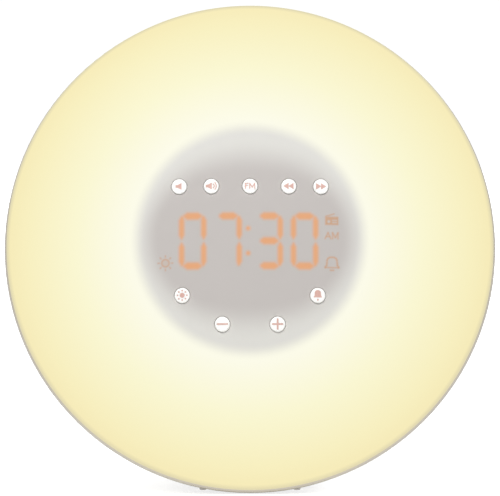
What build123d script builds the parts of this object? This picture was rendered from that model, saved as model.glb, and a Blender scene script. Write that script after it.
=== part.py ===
from build123d import *
import os
from math import asin, cos, degrees, hypot, radians, sin, sqrt

# Sunrise alarm clock: a luminous dome on a white housing that tapers back to a loudspeaker.
# Millimetres, +Z up, the face towards -Y, the origin under the middle of the body on the table.
# "Depth" along the face's own axis is called level: 0 at the seam, positive towards the user.

# ---- Overall form ------------------------------------------------------------------------
rim_diameter = 193.0
overall_depth = 115.0
lean = 10.7  # degrees that the face leans back
rim_lift = 1.0  # air under the rim's front edge
base_height = 2.2  # underside of the housing above the table
wall = 2.4
rear_wall = 3.0
fit_gap = 0.15  # between pieces that plug together
seat_gap = 0.1  # between pieces that are glued or pressed on

# ---- Dome --------------------------------------------------------------------------------
rim_reveal = 0.8  # ring of housing seen round the dome
dome_height = 30.0
dome_edge_radius = 10.0
skirt_height = 3.0
rabbet_depth = 0.4  # the dome's edge sits this deep in the housing

# ---- Housing -----------------------------------------------------------------------------
rim_bead = 3.0  # depth of the rounded rim
tail_radius = 50.0
tail_axis_height = 44.0
tail_edge_radius = 7.0
flare = 0.75  # below 1 the body narrows early
section_count = 7
lip_height = 2.7
lip_thickness = 1.8
catch_count = 8
catch_width = 8.0
catch_height = 1.0
catch_bite = 0.4
boss_face_level = -10.0
housing_screw_radius = 80.0
housing_screw_angles = (45, 135, 190, 350)
housing_boss_radius = 5.0
screw_seat = 2.5  # plastic under a housing screw's head

# ---- Feet --------------------------------------------------------------------------------
front_foot_spacing = 37.0
front_foot_set_back = 24.0
front_foot_radius = 1.4
foot_plug_depth = 1.4
rear_foot_width = 40.0
rear_foot_length = 9.0
rear_foot_set_in = 9.0  # from the rear face to the foot's middle

# ---- Keys --------------------------------------------------------------------------------
top_key_height = 20.7
top_outer_key_x = 27.7
top_inner_key_x = 15.15
side_key_x = 26.5
side_key_height = -22.2
low_key_x = 10.8
low_key_height = -33.5
key_radius = 2.95
key_proud = 0.9
key_edge_radius = 0.5
key_gap = 0.2  # round the cap in its hole
key_flange_radius = 4.1
key_flange_thickness = 0.8
key_flange_gap = 0.2
key_stem_radius = 1.4
key_travel = 0.5

# ---- Display stack inside the dome -------------------------------------------------------
board_thickness = 1.6
display_board_level = 14.0  # back of the board
carrier_radius = 42.0
carrier_wall = 1.8
carrier_floor = 2.0
post_radius = 3.0
post_circle = 36.2
post_angles = (60, 120, 240, 300)
seal_thickness = 1.7
board_edge_gap = 0.6
switch_side = 6.0
switch_height = 3.5
plunger_radius = 1.7
plunger_gap = 0.08
plunger_rise = 1.5
plunger_depth = 1.2
module_width = 73.0
module_height = 27.0
module_depth = 8.0
digit_height = 22.1
digit_width = 10.9
digit_pitch = 13.9
hour_gap = 2.2  # extra room for the colon
figure_shift = -0.6  # the row of figures sits this far off the middle
segment_width = 2.1
segment_depth = 3.0
segment_gap = 0.35
colon_radius = 0.85
colon_spacing = 9.9
sign_x = 32.8  # indicator windows beside the figures
sign_heights = (-9.0, 1.9, 7.8)
sign_width = 5.0
sign_height = 4.4
ribbon_width = 20.0
ribbon_thickness = 0.5
ribbon_height = -8.0  # where it passes the carrier's floor
ribbon_slot_depth = 4.0
ribbon_socket_depth = 4.0
ribbon_socket_height = 3.0

# ---- Light chamber -----------------------------------------------------------------------
reflector_level = -4.0  # front of its flat floor
reflector_thickness = 1.6
reflector_floor_margin = 0.5  # its flat floor reaches past the lamps' board
reflector_edge_level = 1.5
reflector_edge_gap = 0.4
reflector_boss_radius = 3.5
led_board_inner = 46.0
led_board_width = 11.5
led_count = 20
led_side = 3.0
led_height = 0.8
led_hole_radius = 2.6
led_screw_count = 4
led_boss_radius = 2.6
led_boss_height = 3.6

# ---- Main board --------------------------------------------------------------------------
board_standoff = 4.0
main_board_width = 54.0
main_board_length = 50.0
main_board_gap = 2.5  # behind it, to the rear wall
board_hole_x = 22.0
board_hole_rows = (-44.0, -16.0)  # from its rear edge, as are the places below
board_boss_radius = 3.0

processor_side = 10.0
processor_height = 1.4
processor_place = (-8.0, -31.0)
amplifier_side = 6.0
amplifier_height = 1.2
amplifier_place = (9.0, -12.0)
radio_width = 14.0
radio_length = 12.0
radio_height = 2.2
radio_place = (-14.0, -7.0)
capacitor_radius = 3.2
capacitor_height = 9.0
capacitor_places = ((22.0, -23.0), (13.5, -23.0), (2.0, -6.0))
backup_radius = 6.8
backup_height = 5.0
backup_place = (12.0, -34.5)
lead_socket_width = 6.0
lead_socket_depth = 4.5
lead_socket_height = 5.5
led_socket_place = (-21.0, -37.0)
led_lead_angle = 250.0  # where the lamps' lead leaves their board
speaker_socket_place = (-4.0, -16.0)
ribbon_socket_place = (0.0, -46.0)
wire_radius = 0.7
wire_pitch = 2.0

# ---- Sockets in the rear wall ------------------------------------------------------------
socket_x = 20.0
plug_hole_radius = 5.25
jack_axis_height = 6.5  # above the board
jack_width = 11.4
jack_height = 12.4
jack_length = 13.0
jack_bore_radius = 2.85
jack_bore_depth = 10.5
jack_pin_radius = 1.0
jack_pin_length = 9.5
jack_pin_root = 2.0
jack_pin_root_radius = 1.4
gland_radius = 2.5
gland_flange_radius = 3.6
gland_flange_thickness = 0.8
gland_hole_radius = 1.0

# ---- Loudspeaker -------------------------------------------------------------------------
speaker_height = 52.0
grille_radius = 26.0
grille_thickness = 1.6
grille_hole_radius = 1.5
grille_pitch = 4.6
grille_ring_count = 4
grille_open_radius = 24.0
speaker_ring_height = 4.0
speaker_ring_wall = 3.0
gasket_thickness = 1.0
basket_radius = 26.5
basket_opening = 22.8
basket_thickness = 1.0
basket_neck_radius = 13.4
basket_depth = 12.0  # from its flange to its floor
basket_window_count = 6
basket_window_width = 8.0
ear_circle = 30.5
ear_angles = (45, 135, 225, 315)
ear_radius = 3.4
magnet_radius = 20.0
magnet_hole_radius = 9.5
magnet_thickness = 8.0
plate_radius = 18.5
plate_thickness = 3.0
pole_radius = 6.3
coil_radius = 7.0
coil_wall = 0.4
coil_length = 8.5
coil_depth = 2.0  # of the coil in the front plate
magnet_gap = 0.35
cone_radius = 19.3
cone_thickness = 0.5
cone_drop = 6.2
surround_thickness = 0.4
surround_flat = 1.1
spider_thickness = 0.4
spider_level = 2.0  # above the basket's floor
cap_rise = 2.4

# ---- Screws ------------------------------------------------------------------------------
screw_radius = 1.5
screw_head_radius = 2.9
screw_head_height = 2.0
screw_length = 8.0
small_screw_radius = 1.2
small_head_radius = 2.3
small_head_height = 1.5
small_screw_length = 6.0
screw_slack = 0.05  # between a thread and its hole
head_room = 0.6  # between a screw head and its well


# ---- What follows from them --------------------------------------------------------------
rim_radius = rim_diameter / 2
dome_radius_at_seam = rim_radius - rim_reveal
edge_centre_radius = dome_radius_at_seam - dome_edge_radius
crown_height = dome_height - skirt_height
dome_radius = (edge_centre_radius**2 + crown_height**2 - dome_edge_radius**2) / (
    2 * (crown_height - dome_edge_radius)
)
dome_sweep = degrees(asin(edge_centre_radius / (dome_radius - dome_edge_radius)))
lean_cos, lean_sin = cos(radians(lean)), sin(radians(lean))
front_reach = dome_radius - (dome_radius - dome_height) * lean_cos
seam_y = front_reach - overall_depth / 2
seam_z = rim_radius * lean_cos + rim_lift
rear_y = overall_depth / 2
rear_inner_y = rear_y - rear_wall
floor_z = base_height + wall
skirt_inner_radius = dome_radius_at_seam - wall
lip_outer_radius = skirt_inner_radius - fit_gap
lip_inner_radius = lip_outer_radius - lip_thickness

face = Plane(origin=(0, seam_y, seam_z), x_dir=(1, 0, 0), z_dir=(0, -lean_cos, lean_sin))
radial = Plane(origin=face.origin, x_dir=face.x_dir, z_dir=-face.y_dir)  # x out, y along the axis
face_axis = Axis(face.origin, face.z_dir)


def dome_level(radius, inset=0.0):
    """Level of the dome's main curve at a radius, inset from its outer surface."""
    return dome_height - dome_radius + sqrt((dome_radius - inset) ** 2 - radius**2)


keys = {
    "volume_down": (-top_outer_key_x, top_key_height),
    "volume_up": (-top_inner_key_x, top_key_height),
    "radio": (0.0, top_key_height),
    "previous": (top_inner_key_x, top_key_height),
    "next": (top_outer_key_x, top_key_height),
    "light": (-side_key_x, side_key_height),
    "alarm": (side_key_x, side_key_height),
    "minus": (-low_key_x, low_key_height),
    "plus": (low_key_x, low_key_height),
}
key_places = list(keys.values())
board_front_level = display_board_level + board_thickness
switch_top_level = board_front_level + switch_height
plunger_top_level = switch_top_level + plunger_rise

os.makedirs("parts", exist_ok=True)


def save(builder, name):
    """Label a finished piece and write it as its own STEP file."""
    builder.part.label = name
    export_step(builder.part, f"parts/{name}.step")


# ---- Housing: outer form and cavity ------------------------------------------------------
section_start_y = seam_y + rim_bead * lean_cos
section_start_z = seam_z - rim_bead * lean_sin
underside_start = section_start_z - rim_radius * lean_cos
underside_end = tail_axis_height - tail_radius


def body_sections(inset, rear_inset):
    """Planes and radii of the circles that the tapering body runs through."""
    for i in range(section_count):
        t = i / (section_count - 1)
        eased = t**flare
        radius = rim_radius - (rim_radius - tail_radius) * eased**2 * (3 - 2 * eased)
        tilt = radians(lean * (1 - t))
        underside = underside_start + (underside_end - underside_start) * t
        origin = (
            0,
            section_start_y + (rear_y - rear_inset - section_start_y) * t,
            underside + radius * cos(tilt),
        )
        yield Plane(origin=origin, x_dir=(1, 0, 0), z_dir=(0, -cos(tilt), sin(tilt))), radius - inset


housing_screw_places = [
    (housing_screw_radius * cos(radians(a)), housing_screw_radius * sin(radians(a)))
    for a in housing_screw_angles
]
board_places = [
    (side * board_hole_x, y) for side in (-1, 1) for y in board_hole_rows
]
ear_places = [
    (ear_circle * cos(radians(a)), ear_circle * sin(radians(a))) for a in ear_angles
]
floor_plane = Plane.XY.offset(floor_z)
rear_inner = Plane(origin=(0, rear_inner_y, speaker_height), x_dir=(1, 0, 0), z_dir=(0, -1, 0))
main_board_z = floor_z + board_standoff
main_board_rear = rear_inner_y - main_board_gap
board_floor = Plane((0, main_board_rear, floor_z))
main_board_top = main_board_z + board_thickness
socket_z = main_board_top + jack_axis_height
rear_outer = Plane(origin=(0, rear_y, 0), x_dir=(-1, 0, 0), z_dir=(0, 1, 0))  # x runs to -X

with BuildPart() as cavity:
    for section_plane, section_radius in body_sections(wall, rear_wall):
        with BuildSketch(section_plane):
            Circle(section_radius)
    loft()
    fillet(cavity.faces().sort_by(Axis.Y)[-1].edges(), tail_edge_radius - wall)
    split(bisect_by=floor_plane, keep=Keep.TOP)
    # bosses and the loudspeaker's ring stay standing in the cavity
    with BuildSketch(face.offset(boss_face_level)):
        with Locations(*housing_screw_places):
            Circle(housing_boss_radius)
    extrude(amount=-overall_depth, mode=Mode.SUBTRACT)
    with BuildSketch(board_floor):
        with Locations(*board_places):
            Circle(board_boss_radius)
    extrude(amount=board_standoff, mode=Mode.SUBTRACT)
    with BuildSketch(rear_inner):
        Circle(grille_open_radius + speaker_ring_wall)
        with Locations(*ear_places):
            Circle(ear_radius)
        Circle(grille_open_radius, mode=Mode.SUBTRACT)
    extrude(amount=speaker_ring_height, mode=Mode.SUBTRACT)

front_foot_y = seam_y - rim_radius * lean_sin + front_foot_set_back
rear_foot_y = rear_y - rear_foot_set_in
front_foot_places = [(side * front_foot_spacing / 2, front_foot_y) for side in (-1, 1)]
under = Plane(origin=(0, 0, base_height), x_dir=(1, 0, 0), z_dir=(0, 0, -1))  # y runs to -Y
well_radius = screw_head_radius + head_room

with BuildPart() as rear_housing:
    for section_plane, section_radius in body_sections(0, 0):
        with BuildSketch(section_plane):
            Circle(section_radius)
    loft()
    fillet(rear_housing.faces().sort_by(Axis.Y)[-1].edges(), tail_edge_radius)
    split(bisect_by=Plane.XY.offset(base_height), keep=Keep.TOP)
    # rounded rim with the dome's rabbet, and the lip that the dome snaps over
    with BuildSketch(radial):
        with BuildLine():
            seat = Polyline(
                (rim_radius, -rim_bead),
                (lip_inner_radius, -rim_bead),
                (lip_inner_radius, lip_height),
                (lip_outer_radius, lip_height),
                (lip_outer_radius, 0),
                (dome_radius_at_seam + fit_gap, 0),
                (dome_radius_at_seam + fit_gap, rabbet_depth),
            )
            TangentArc(seat @ 0, seat @ 1, tangent=(0, 1))
        make_face()
    revolve(axis=face_axis)
    with BuildSketch(face.offset(lip_height / 2 - catch_height / 2)):
        with PolarLocations(lip_outer_radius, catch_count):
            Rectangle(2 * catch_bite, catch_width)
    extrude(amount=catch_height)
    add(cavity.part, mode=Mode.SUBTRACT)
    # wells and holes for the four long screws
    with BuildSketch(face.offset(boss_face_level - screw_seat)):
        with Locations(*housing_screw_places):
            Circle(well_radius)
    extrude(amount=-overall_depth, mode=Mode.SUBTRACT)
    with BuildSketch(face.offset(boss_face_level)):
        with Locations(*housing_screw_places):
            Circle(screw_radius + fit_gap)
    extrude(amount=-overall_depth, mode=Mode.SUBTRACT)
    # pilot holes in the short bosses
    with BuildSketch(board_floor.offset(board_standoff)):
        with Locations(*board_places):
            Circle(small_screw_radius + screw_slack)
    extrude(amount=-board_standoff - wall / 2, mode=Mode.SUBTRACT)
    with BuildSketch(rear_inner.offset(speaker_ring_height)):
        with Locations(*ear_places):
            Circle(small_screw_radius + screw_slack)
    extrude(amount=-speaker_ring_height - rear_wall / 2, mode=Mode.SUBTRACT)
    # loudspeaker opening, with the recess that holds the grille
    with BuildSketch(rear_inner):
        Circle(grille_open_radius)
    extrude(amount=-rear_wall, mode=Mode.SUBTRACT)
    with BuildSketch(rear_outer):
        with Locations((0, speaker_height)):
            Circle(grille_radius + fit_gap)
    extrude(amount=-grille_thickness, mode=Mode.SUBTRACT)
    # power socket, and aerial gland with its recess
    with BuildSketch(rear_outer):
        with Locations((-socket_x, socket_z)):
            Circle(plug_hole_radius)
        with Locations((socket_x, socket_z)):
            Circle(gland_radius + fit_gap)
    extrude(amount=-rear_wall, mode=Mode.SUBTRACT)
    with BuildSketch(rear_outer):
        with Locations((socket_x, socket_z)):
            Circle(gland_flange_radius + fit_gap)
    extrude(amount=-gland_flange_thickness, mode=Mode.SUBTRACT)
    # pockets for the feet
    with BuildSketch(under):
        with Locations(*[(x, -y) for x, y in front_foot_places]):
            Circle(front_foot_radius + seat_gap)
        with Locations((0, -rear_foot_y)):
            SlotOverall(rear_foot_width + 2 * seat_gap, rear_foot_length + 2 * seat_gap)
    extrude(amount=-foot_plug_depth, mode=Mode.SUBTRACT)
save(rear_housing, "rear_housing")

# ---- Dome --------------------------------------------------------------------------------
dome_centre = (0, dome_height - dome_radius)
edge_centre = (edge_centre_radius, skirt_height)
edge_sweep = 90 - dome_sweep
catch_level = (lip_height - catch_height) / 2

with BuildPart() as diffuser:
    with BuildSketch(radial):
        with BuildLine():
            Line((skirt_inner_radius, seat_gap), (dome_radius_at_seam, seat_gap))
            Line((dome_radius_at_seam, seat_gap), (dome_radius_at_seam, skirt_height))
            CenterArc(edge_centre, dome_edge_radius, 0, edge_sweep)
            CenterArc(dome_centre, dome_radius, edge_sweep, dome_sweep)
            Line((0, dome_height), (0, dome_height - wall))
            CenterArc(dome_centre, dome_radius - wall, edge_sweep, dome_sweep)
            CenterArc(edge_centre, dome_edge_radius - wall, 0, edge_sweep)
            Line((skirt_inner_radius, skirt_height), (skirt_inner_radius, seat_gap))
        make_face()
    revolve(axis=face_axis)
    # groove that the catches snap into
    with BuildSketch(radial):
        with Locations((skirt_inner_radius, lip_height / 2)):
            Rectangle(2 * (catch_bite + seat_gap - fit_gap), catch_height + 2 * seat_gap)
    revolve(axis=face_axis, mode=Mode.SUBTRACT)
    with BuildSketch(face):
        with Locations(*key_places):
            Circle(key_radius + key_gap)
    extrude(amount=dome_height, mode=Mode.SUBTRACT)
save(diffuser, "diffuser")

# ---- Keys and their switches' plungers ---------------------------------------------------
dome_middle = face.offset(dome_height - dome_radius)

for key_name, (key_x, key_y) in keys.items():
    flange_reach = hypot(key_x, key_y) + key_flange_radius
    flange_level = dome_level(flange_reach, wall + key_flange_gap) - key_flange_thickness
    with BuildPart() as key:
        with BuildSketch(face.offset(flange_level)):
            with Locations((key_x, key_y)):
                Circle(key_flange_radius)
        extrude(amount=dome_height)
        with Locations(dome_middle):
            Sphere(dome_radius - wall - key_flange_gap, mode=Mode.INTERSECT)
        with BuildSketch(face.offset(flange_level)):
            with Locations((key_x, key_y)):
                Circle(key_radius)
        extrude(amount=dome_height)
        with Locations(dome_middle):
            Sphere(dome_radius + key_proud, mode=Mode.INTERSECT)
        fillet(key.faces().sort_by(face_axis)[-1].outer_wire().edges(), key_edge_radius)
        with BuildSketch(face.offset(plunger_top_level)):
            with Locations((key_x, key_y)):
                Circle(key_stem_radius)
        extrude(amount=flange_level - plunger_top_level)
    save(key, f"key_{key_name}")
    with BuildPart() as plunger:
        with BuildSketch(face.offset(switch_top_level - plunger_depth)):
            with Locations((key_x, key_y)):
                Circle(plunger_radius)
        extrude(amount=plunger_depth + plunger_rise)
    save(plunger, f"plunger_{key_name}")

# ---- Carrier, its seal and what it holds -------------------------------------------------
post_places = [
    (post_circle * cos(radians(a)), post_circle * sin(radians(a))) for a in post_angles
]
carrier_base = reflector_level + seat_gap
carrier_top = dome_level(carrier_radius, wall) - seal_thickness - 2 * seat_gap
carrier_inner = carrier_radius - carrier_wall
small_thread = small_screw_length - board_thickness
small_pilot = small_screw_radius + screw_slack

with BuildPart() as display_carrier:
    with BuildSketch(face.offset(carrier_base)):
        Circle(carrier_radius)
    extrude(amount=carrier_top - carrier_base)
    with BuildSketch(face.offset(carrier_base + carrier_floor)):
        Circle(carrier_inner)
        with Locations(*post_places):
            Circle(post_radius, mode=Mode.SUBTRACT)
    extrude(amount=carrier_top, mode=Mode.SUBTRACT)
    with BuildSketch(face.offset(display_board_level - seat_gap)):
        Circle(carrier_inner)
    extrude(amount=carrier_top, mode=Mode.SUBTRACT)
    with BuildSketch(face.offset(display_board_level - seat_gap)):
        with Locations(*post_places):
            Circle(small_pilot)
    extrude(amount=-small_thread, mode=Mode.SUBTRACT)
    with BuildSketch(face.offset(carrier_base)):
        with Locations(*post_places):
            Circle(small_pilot)
    extrude(amount=small_thread, mode=Mode.SUBTRACT)
    with BuildSketch(face.offset(carrier_base)):
        with Locations((0, ribbon_height)):
            Rectangle(ribbon_width + ribbon_slot_depth, ribbon_slot_depth)
    extrude(amount=carrier_floor, mode=Mode.SUBTRACT)
save(display_carrier, "display_carrier")

with BuildPart() as light_seal:
    with BuildSketch(face.offset(carrier_top + seat_gap)):
        Circle(carrier_radius)
        Circle(carrier_inner, mode=Mode.SUBTRACT)
    extrude(amount=dome_height)
    with Locations(dome_middle):
        Sphere(dome_radius - wall - seat_gap, mode=Mode.INTERSECT)
save(light_seal, "light_seal")

with BuildPart() as display_board:
    with BuildSketch(face.offset(display_board_level)):
        Circle(carrier_inner - board_edge_gap)
        with Locations(*post_places):
            Circle(small_screw_radius + fit_gap, mode=Mode.SUBTRACT)
    extrude(amount=board_thickness)
save(display_board, "display_board")

with BuildPart() as tact_switches:
    with BuildSketch(face.offset(board_front_level + seat_gap)):
        with Locations(*key_places):
            Rectangle(switch_side, switch_side)
    extrude(amount=switch_height - seat_gap)
    with BuildSketch(face.offset(switch_top_level)):
        with Locations(*key_places):
            Circle(plunger_radius + plunger_gap)
    extrude(amount=-(plunger_depth + key_travel + seat_gap), mode=Mode.SUBTRACT)
save(tact_switches, "tact_switches")

# seven-segment figures: each bar is a pointed strip, set between two corners of its figure
bar_reach_x = (digit_width - segment_width) / 2
bar_reach_y = (digit_height - segment_width) / 2
upright_length = bar_reach_y - segment_gap
level_length = 2 * bar_reach_x - segment_gap
figure_centres = [
    figure_shift + side * (hour_gap / 2 + digit_pitch * (0.5 + step))
    for side in (-1, 1)
    for step in (0, 1)
]
level_bars = [(x, row * bar_reach_y) for x in figure_centres for row in (-1, 0, 1)]
upright_bars = [
    (x + column * bar_reach_x, row * bar_reach_y / 2)
    for x in figure_centres
    for column in (-1, 1)
    for row in (-1, 1)
]
sign_places = [(sign_x, y) for y in sign_heights] + [(-sign_x, sign_heights[0])]
module_front = board_front_level + seat_gap + module_depth


def bar(length, width):
    """A strip along X with pointed ends."""
    half, side = length / 2, width / 2
    return Polygon(
        (-half, 0), (side - half, side), (half - side, side),
        (half, 0), (half - side, -side), (side - half, -side), align=None,
    )  # fmt: skip


def segment_windows(growth):
    """The module's windows, grown all round."""
    with Locations(*level_bars):
        bar(level_length + 2 * growth, segment_width + 2 * growth)
    for place in upright_bars:
        with Locations(Location(place, 90)):
            bar(upright_length + 2 * growth, segment_width + 2 * growth)
    with Locations((figure_shift, -colon_spacing / 2), (figure_shift, colon_spacing / 2)):
        Circle(colon_radius + growth)
    with Locations(*sign_places):
        RectangleRounded(sign_width + 2 * growth, sign_height + 2 * growth, segment_width / 2)


with BuildPart() as display_segments:
    with BuildSketch(face.offset(module_front)):
        segment_windows(0)
    extrude(amount=-segment_depth)
save(display_segments, "display_segments")

with BuildPart() as display_module:
    with BuildSketch(face.offset(module_front)):
        Rectangle(module_width, module_height)
    extrude(amount=-module_depth)
    with BuildSketch(face.offset(module_front)):
        segment_windows(seat_gap / 2)
    extrude(amount=-segment_depth - seat_gap / 2, mode=Mode.SUBTRACT)
save(display_module, "display_module")

# ---- Reflector and lamps -----------------------------------------------------------------
reflector_edge = lip_inner_radius - reflector_edge_gap
reflector_back = reflector_level - reflector_thickness
led_board_outer = led_board_inner + led_board_width
led_circle = led_board_inner + led_board_width / 2
reflector_floor_radius = led_board_outer + reflector_floor_margin
led_board_front = reflector_back - seat_gap
led_board_back = led_board_front - board_thickness
half_led_step = 180 / led_count
led_screw_step = 360 / led_screw_count
led_screw_angle = half_led_step * (led_count // led_screw_count)
boss_bottom = boss_face_level + seat_gap

with BuildPart() as reflector:
    with BuildSketch(radial):
        with BuildLine():
            back = Polyline(
                (0, reflector_level), (0, reflector_back), (reflector_floor_radius, reflector_back)
            )
            rise = TangentArc(
                back @ 1, (reflector_edge, reflector_edge_level - reflector_thickness), tangent=(1, 0)
            )
            Polyline(
                rise @ 1, (reflector_edge, reflector_edge_level), (0, reflector_edge_level), back @ 0
            )
        make_face()
    revolve(axis=face_axis)
    with BuildSketch(face.offset(boss_bottom)):
        with Locations(*housing_screw_places):
            Circle(reflector_boss_radius)
    extrude(amount=reflector_edge_level - boss_bottom)
    with BuildSketch(radial):
        with BuildLine():
            front = Line((0, reflector_level), (reflector_floor_radius, reflector_level))
            rim = TangentArc(front @ 1, (reflector_edge, reflector_edge_level), tangent=(1, 0))
            Polyline(rim @ 1, (reflector_edge, dome_height), (0, dome_height), front @ 0)
        make_face()
    revolve(axis=face_axis, mode=Mode.SUBTRACT)
    with BuildSketch(face.offset(boss_bottom)):
        with Locations(*housing_screw_places):
            Circle(screw_radius + screw_slack)
    extrude(amount=screw_length - screw_seat, mode=Mode.SUBTRACT)
    with BuildSketch(face.offset(reflector_back)):
        with PolarLocations(led_circle, led_count):
            Circle(led_hole_radius)
        with Locations(*post_places):
            Circle(small_screw_radius + fit_gap)
        with Locations((0, ribbon_height)):
            Rectangle(ribbon_width + ribbon_slot_depth, ribbon_slot_depth)
    extrude(amount=reflector_thickness, mode=Mode.SUBTRACT)
    with BuildSketch(face.offset(reflector_back)):
        with PolarLocations(led_circle, led_screw_count, led_screw_angle):
            Circle(led_boss_radius)
    extrude(amount=reflector_thickness + led_boss_height)
    with BuildSketch(face.offset(reflector_back)):
        with PolarLocations(led_circle, led_screw_count, led_screw_angle):
            Circle(small_pilot)
    extrude(amount=small_thread, mode=Mode.SUBTRACT)
save(reflector, "reflector")

with BuildPart() as led_board:
    with BuildSketch(face.offset(led_board_front)):
        Circle(led_board_outer)
        Circle(led_board_inner, mode=Mode.SUBTRACT)
        with PolarLocations(led_circle, led_screw_count, led_screw_angle):
            Circle(small_screw_radius + fit_gap, mode=Mode.SUBTRACT)
    extrude(amount=-board_thickness)
save(led_board, "led_board")

with BuildPart() as leds:
    with BuildSketch(face.offset(led_board_front)):
        with PolarLocations(led_circle, led_count):
            Rectangle(led_side, led_side)
    extrude(amount=led_height)
save(leds, "leds")

# ---- Main board and what stands on it ----------------------------------------------------
board_top = board_floor.offset(board_standoff + board_thickness)


with BuildPart() as main_board:
    with BuildSketch(board_floor.offset(board_standoff)):
        with Locations((0, -main_board_length / 2)):
            Rectangle(main_board_width, main_board_length)
        with Locations(*board_places):
            Circle(small_screw_radius + fit_gap, mode=Mode.SUBTRACT)
    extrude(amount=board_thickness)
save(main_board, "main_board")

blocks = {
    "processor": ([processor_place], processor_side, processor_side, processor_height),
    "amplifier": ([amplifier_place], amplifier_side, amplifier_side, amplifier_height),
    "radio_module": ([radio_place], radio_width, radio_length, radio_height),
    "lead_sockets": (
        [led_socket_place, speaker_socket_place],
        lead_socket_width,
        lead_socket_depth,
        lead_socket_height,
    ),
}

for block_name, (places, block_width, block_length, block_height) in blocks.items():
    with BuildPart() as block:
        with BuildSketch(board_top):
            with Locations(*places):
                Rectangle(block_width, block_length)
        extrude(amount=block_height)
    save(block, block_name)

with BuildPart() as capacitors:
    with BuildSketch(board_top):
        with Locations(*capacitor_places):
            Circle(capacitor_radius)
    extrude(amount=capacitor_height)
    fillet(capacitors.faces().group_by(Axis.Z)[-1].edges(), seat_gap * 5)
save(capacitors, "capacitors")

with BuildPart() as backup_capacitor:
    with BuildSketch(board_top):
        with Locations(backup_place):
            Circle(backup_radius)
    extrude(amount=backup_height)
    fillet(backup_capacitor.faces().sort_by(Axis.Z)[-1].edges(), seat_gap * 5)
save(backup_capacitor, "backup_capacitor")

ribbon_end_level = display_board_level - ribbon_socket_height

with BuildPart() as ribbon_sockets:
    with BuildSketch(board_top):
        with Locations(ribbon_socket_place):
            Rectangle(ribbon_width + 2, ribbon_socket_depth)
    extrude(amount=ribbon_socket_height)
    with BuildSketch(face.offset(display_board_level)):
        with Locations((0, ribbon_height)):
            Rectangle(ribbon_width + 2, ribbon_socket_depth)
    extrude(amount=-ribbon_socket_height)
save(ribbon_sockets, "ribbon_sockets")

jack_face_y = rear_inner_y - fit_gap
jack_bore_floor = jack_face_y - jack_bore_depth
jack_mouth = Plane(origin=(socket_x, jack_face_y, socket_z), x_dir=(-1, 0, 0), z_dir=(0, 1, 0))

with BuildPart() as dc_jack:
    with BuildSketch(board_top):
        with Locations((socket_x, jack_face_y - main_board_rear - jack_length / 2)):
            Rectangle(jack_width, jack_length)
    extrude(amount=jack_height)
    with BuildSketch(jack_mouth):
        Circle(jack_bore_radius)
    extrude(amount=-jack_bore_depth, mode=Mode.SUBTRACT)
    with BuildSketch(jack_mouth.offset(-jack_bore_depth)):
        Circle(jack_pin_root_radius + screw_slack)
    extrude(amount=-jack_pin_root, mode=Mode.SUBTRACT)
save(dc_jack, "dc_jack")

with BuildPart() as jack_pin:
    with BuildSketch(jack_mouth.offset(-jack_bore_depth)):
        Circle(jack_pin_root_radius)
    extrude(amount=screw_slack - jack_pin_root)
    with BuildSketch(jack_mouth.offset(-jack_bore_depth)):
        Circle(jack_pin_radius)
    extrude(amount=jack_pin_length)
    fillet(jack_pin.faces().sort_by(Axis.Y)[-1].edges(), jack_pin_radius / 2)
save(jack_pin, "jack_pin")

with BuildPart() as aerial_gland:
    with BuildSketch(rear_outer):
        with Locations((socket_x, socket_z)):
            Circle(gland_flange_radius)
    extrude(amount=seat_gap - gland_flange_thickness)
    with BuildSketch(rear_outer):
        with Locations((socket_x, socket_z)):
            Circle(gland_radius)
    extrude(amount=-rear_wall)
    with BuildSketch(rear_outer):
        with Locations((socket_x, socket_z)):
            Circle(gland_hole_radius)
    extrude(amount=-rear_wall, mode=Mode.SUBTRACT)
save(aerial_gland, "aerial_gland")

# ---- Loudspeaker: level 0 at its ring in the housing, positive into the body --------------
speaker_face = rear_inner.offset(speaker_ring_height)
speaker_radial = Plane(origin=speaker_face.origin, x_dir=(1, 0, 0), z_dir=(0, 0, -1))
speaker_axis = Axis(speaker_face.origin, speaker_face.z_dir)
flange_side = 2 * (ear_circle * cos(radians(ear_angles[0])) + ear_radius)
flange_front = gasket_thickness + seat_gap
flange_back = flange_front + basket_thickness
basket_floor = flange_back + basket_depth
basket_back = basket_floor + basket_thickness
plate_front = basket_back + seat_gap
plate_back = plate_front + plate_thickness
magnet_back = plate_back + seat_gap + magnet_thickness
yoke_back = magnet_back + seat_gap + plate_thickness
coil_outer = coil_radius + coil_wall
coil_back = plate_front + coil_depth
coil_front = coil_back - coil_length
cone_neck = coil_outer + screw_slack
spider_front = basket_floor - spider_level
basket_slope = (basket_opening - basket_neck_radius) / (basket_floor - flange_front)
spider_radius = basket_neck_radius + spider_level * basket_slope - 2 * fit_gap


def flange_outline(opening):
    """Round flange with four ears."""
    Circle(basket_radius)
    RectangleRounded(flange_side, flange_side, ear_radius)
    with Locations(*ear_places):
        Circle(small_screw_radius + fit_gap, mode=Mode.SUBTRACT)
    Circle(opening, mode=Mode.SUBTRACT)


with BuildPart() as speaker_gasket:
    with BuildSketch(speaker_face.offset(seat_gap)):
        flange_outline(grille_open_radius)
    extrude(amount=gasket_thickness - seat_gap)
save(speaker_gasket, "speaker_gasket")

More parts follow.
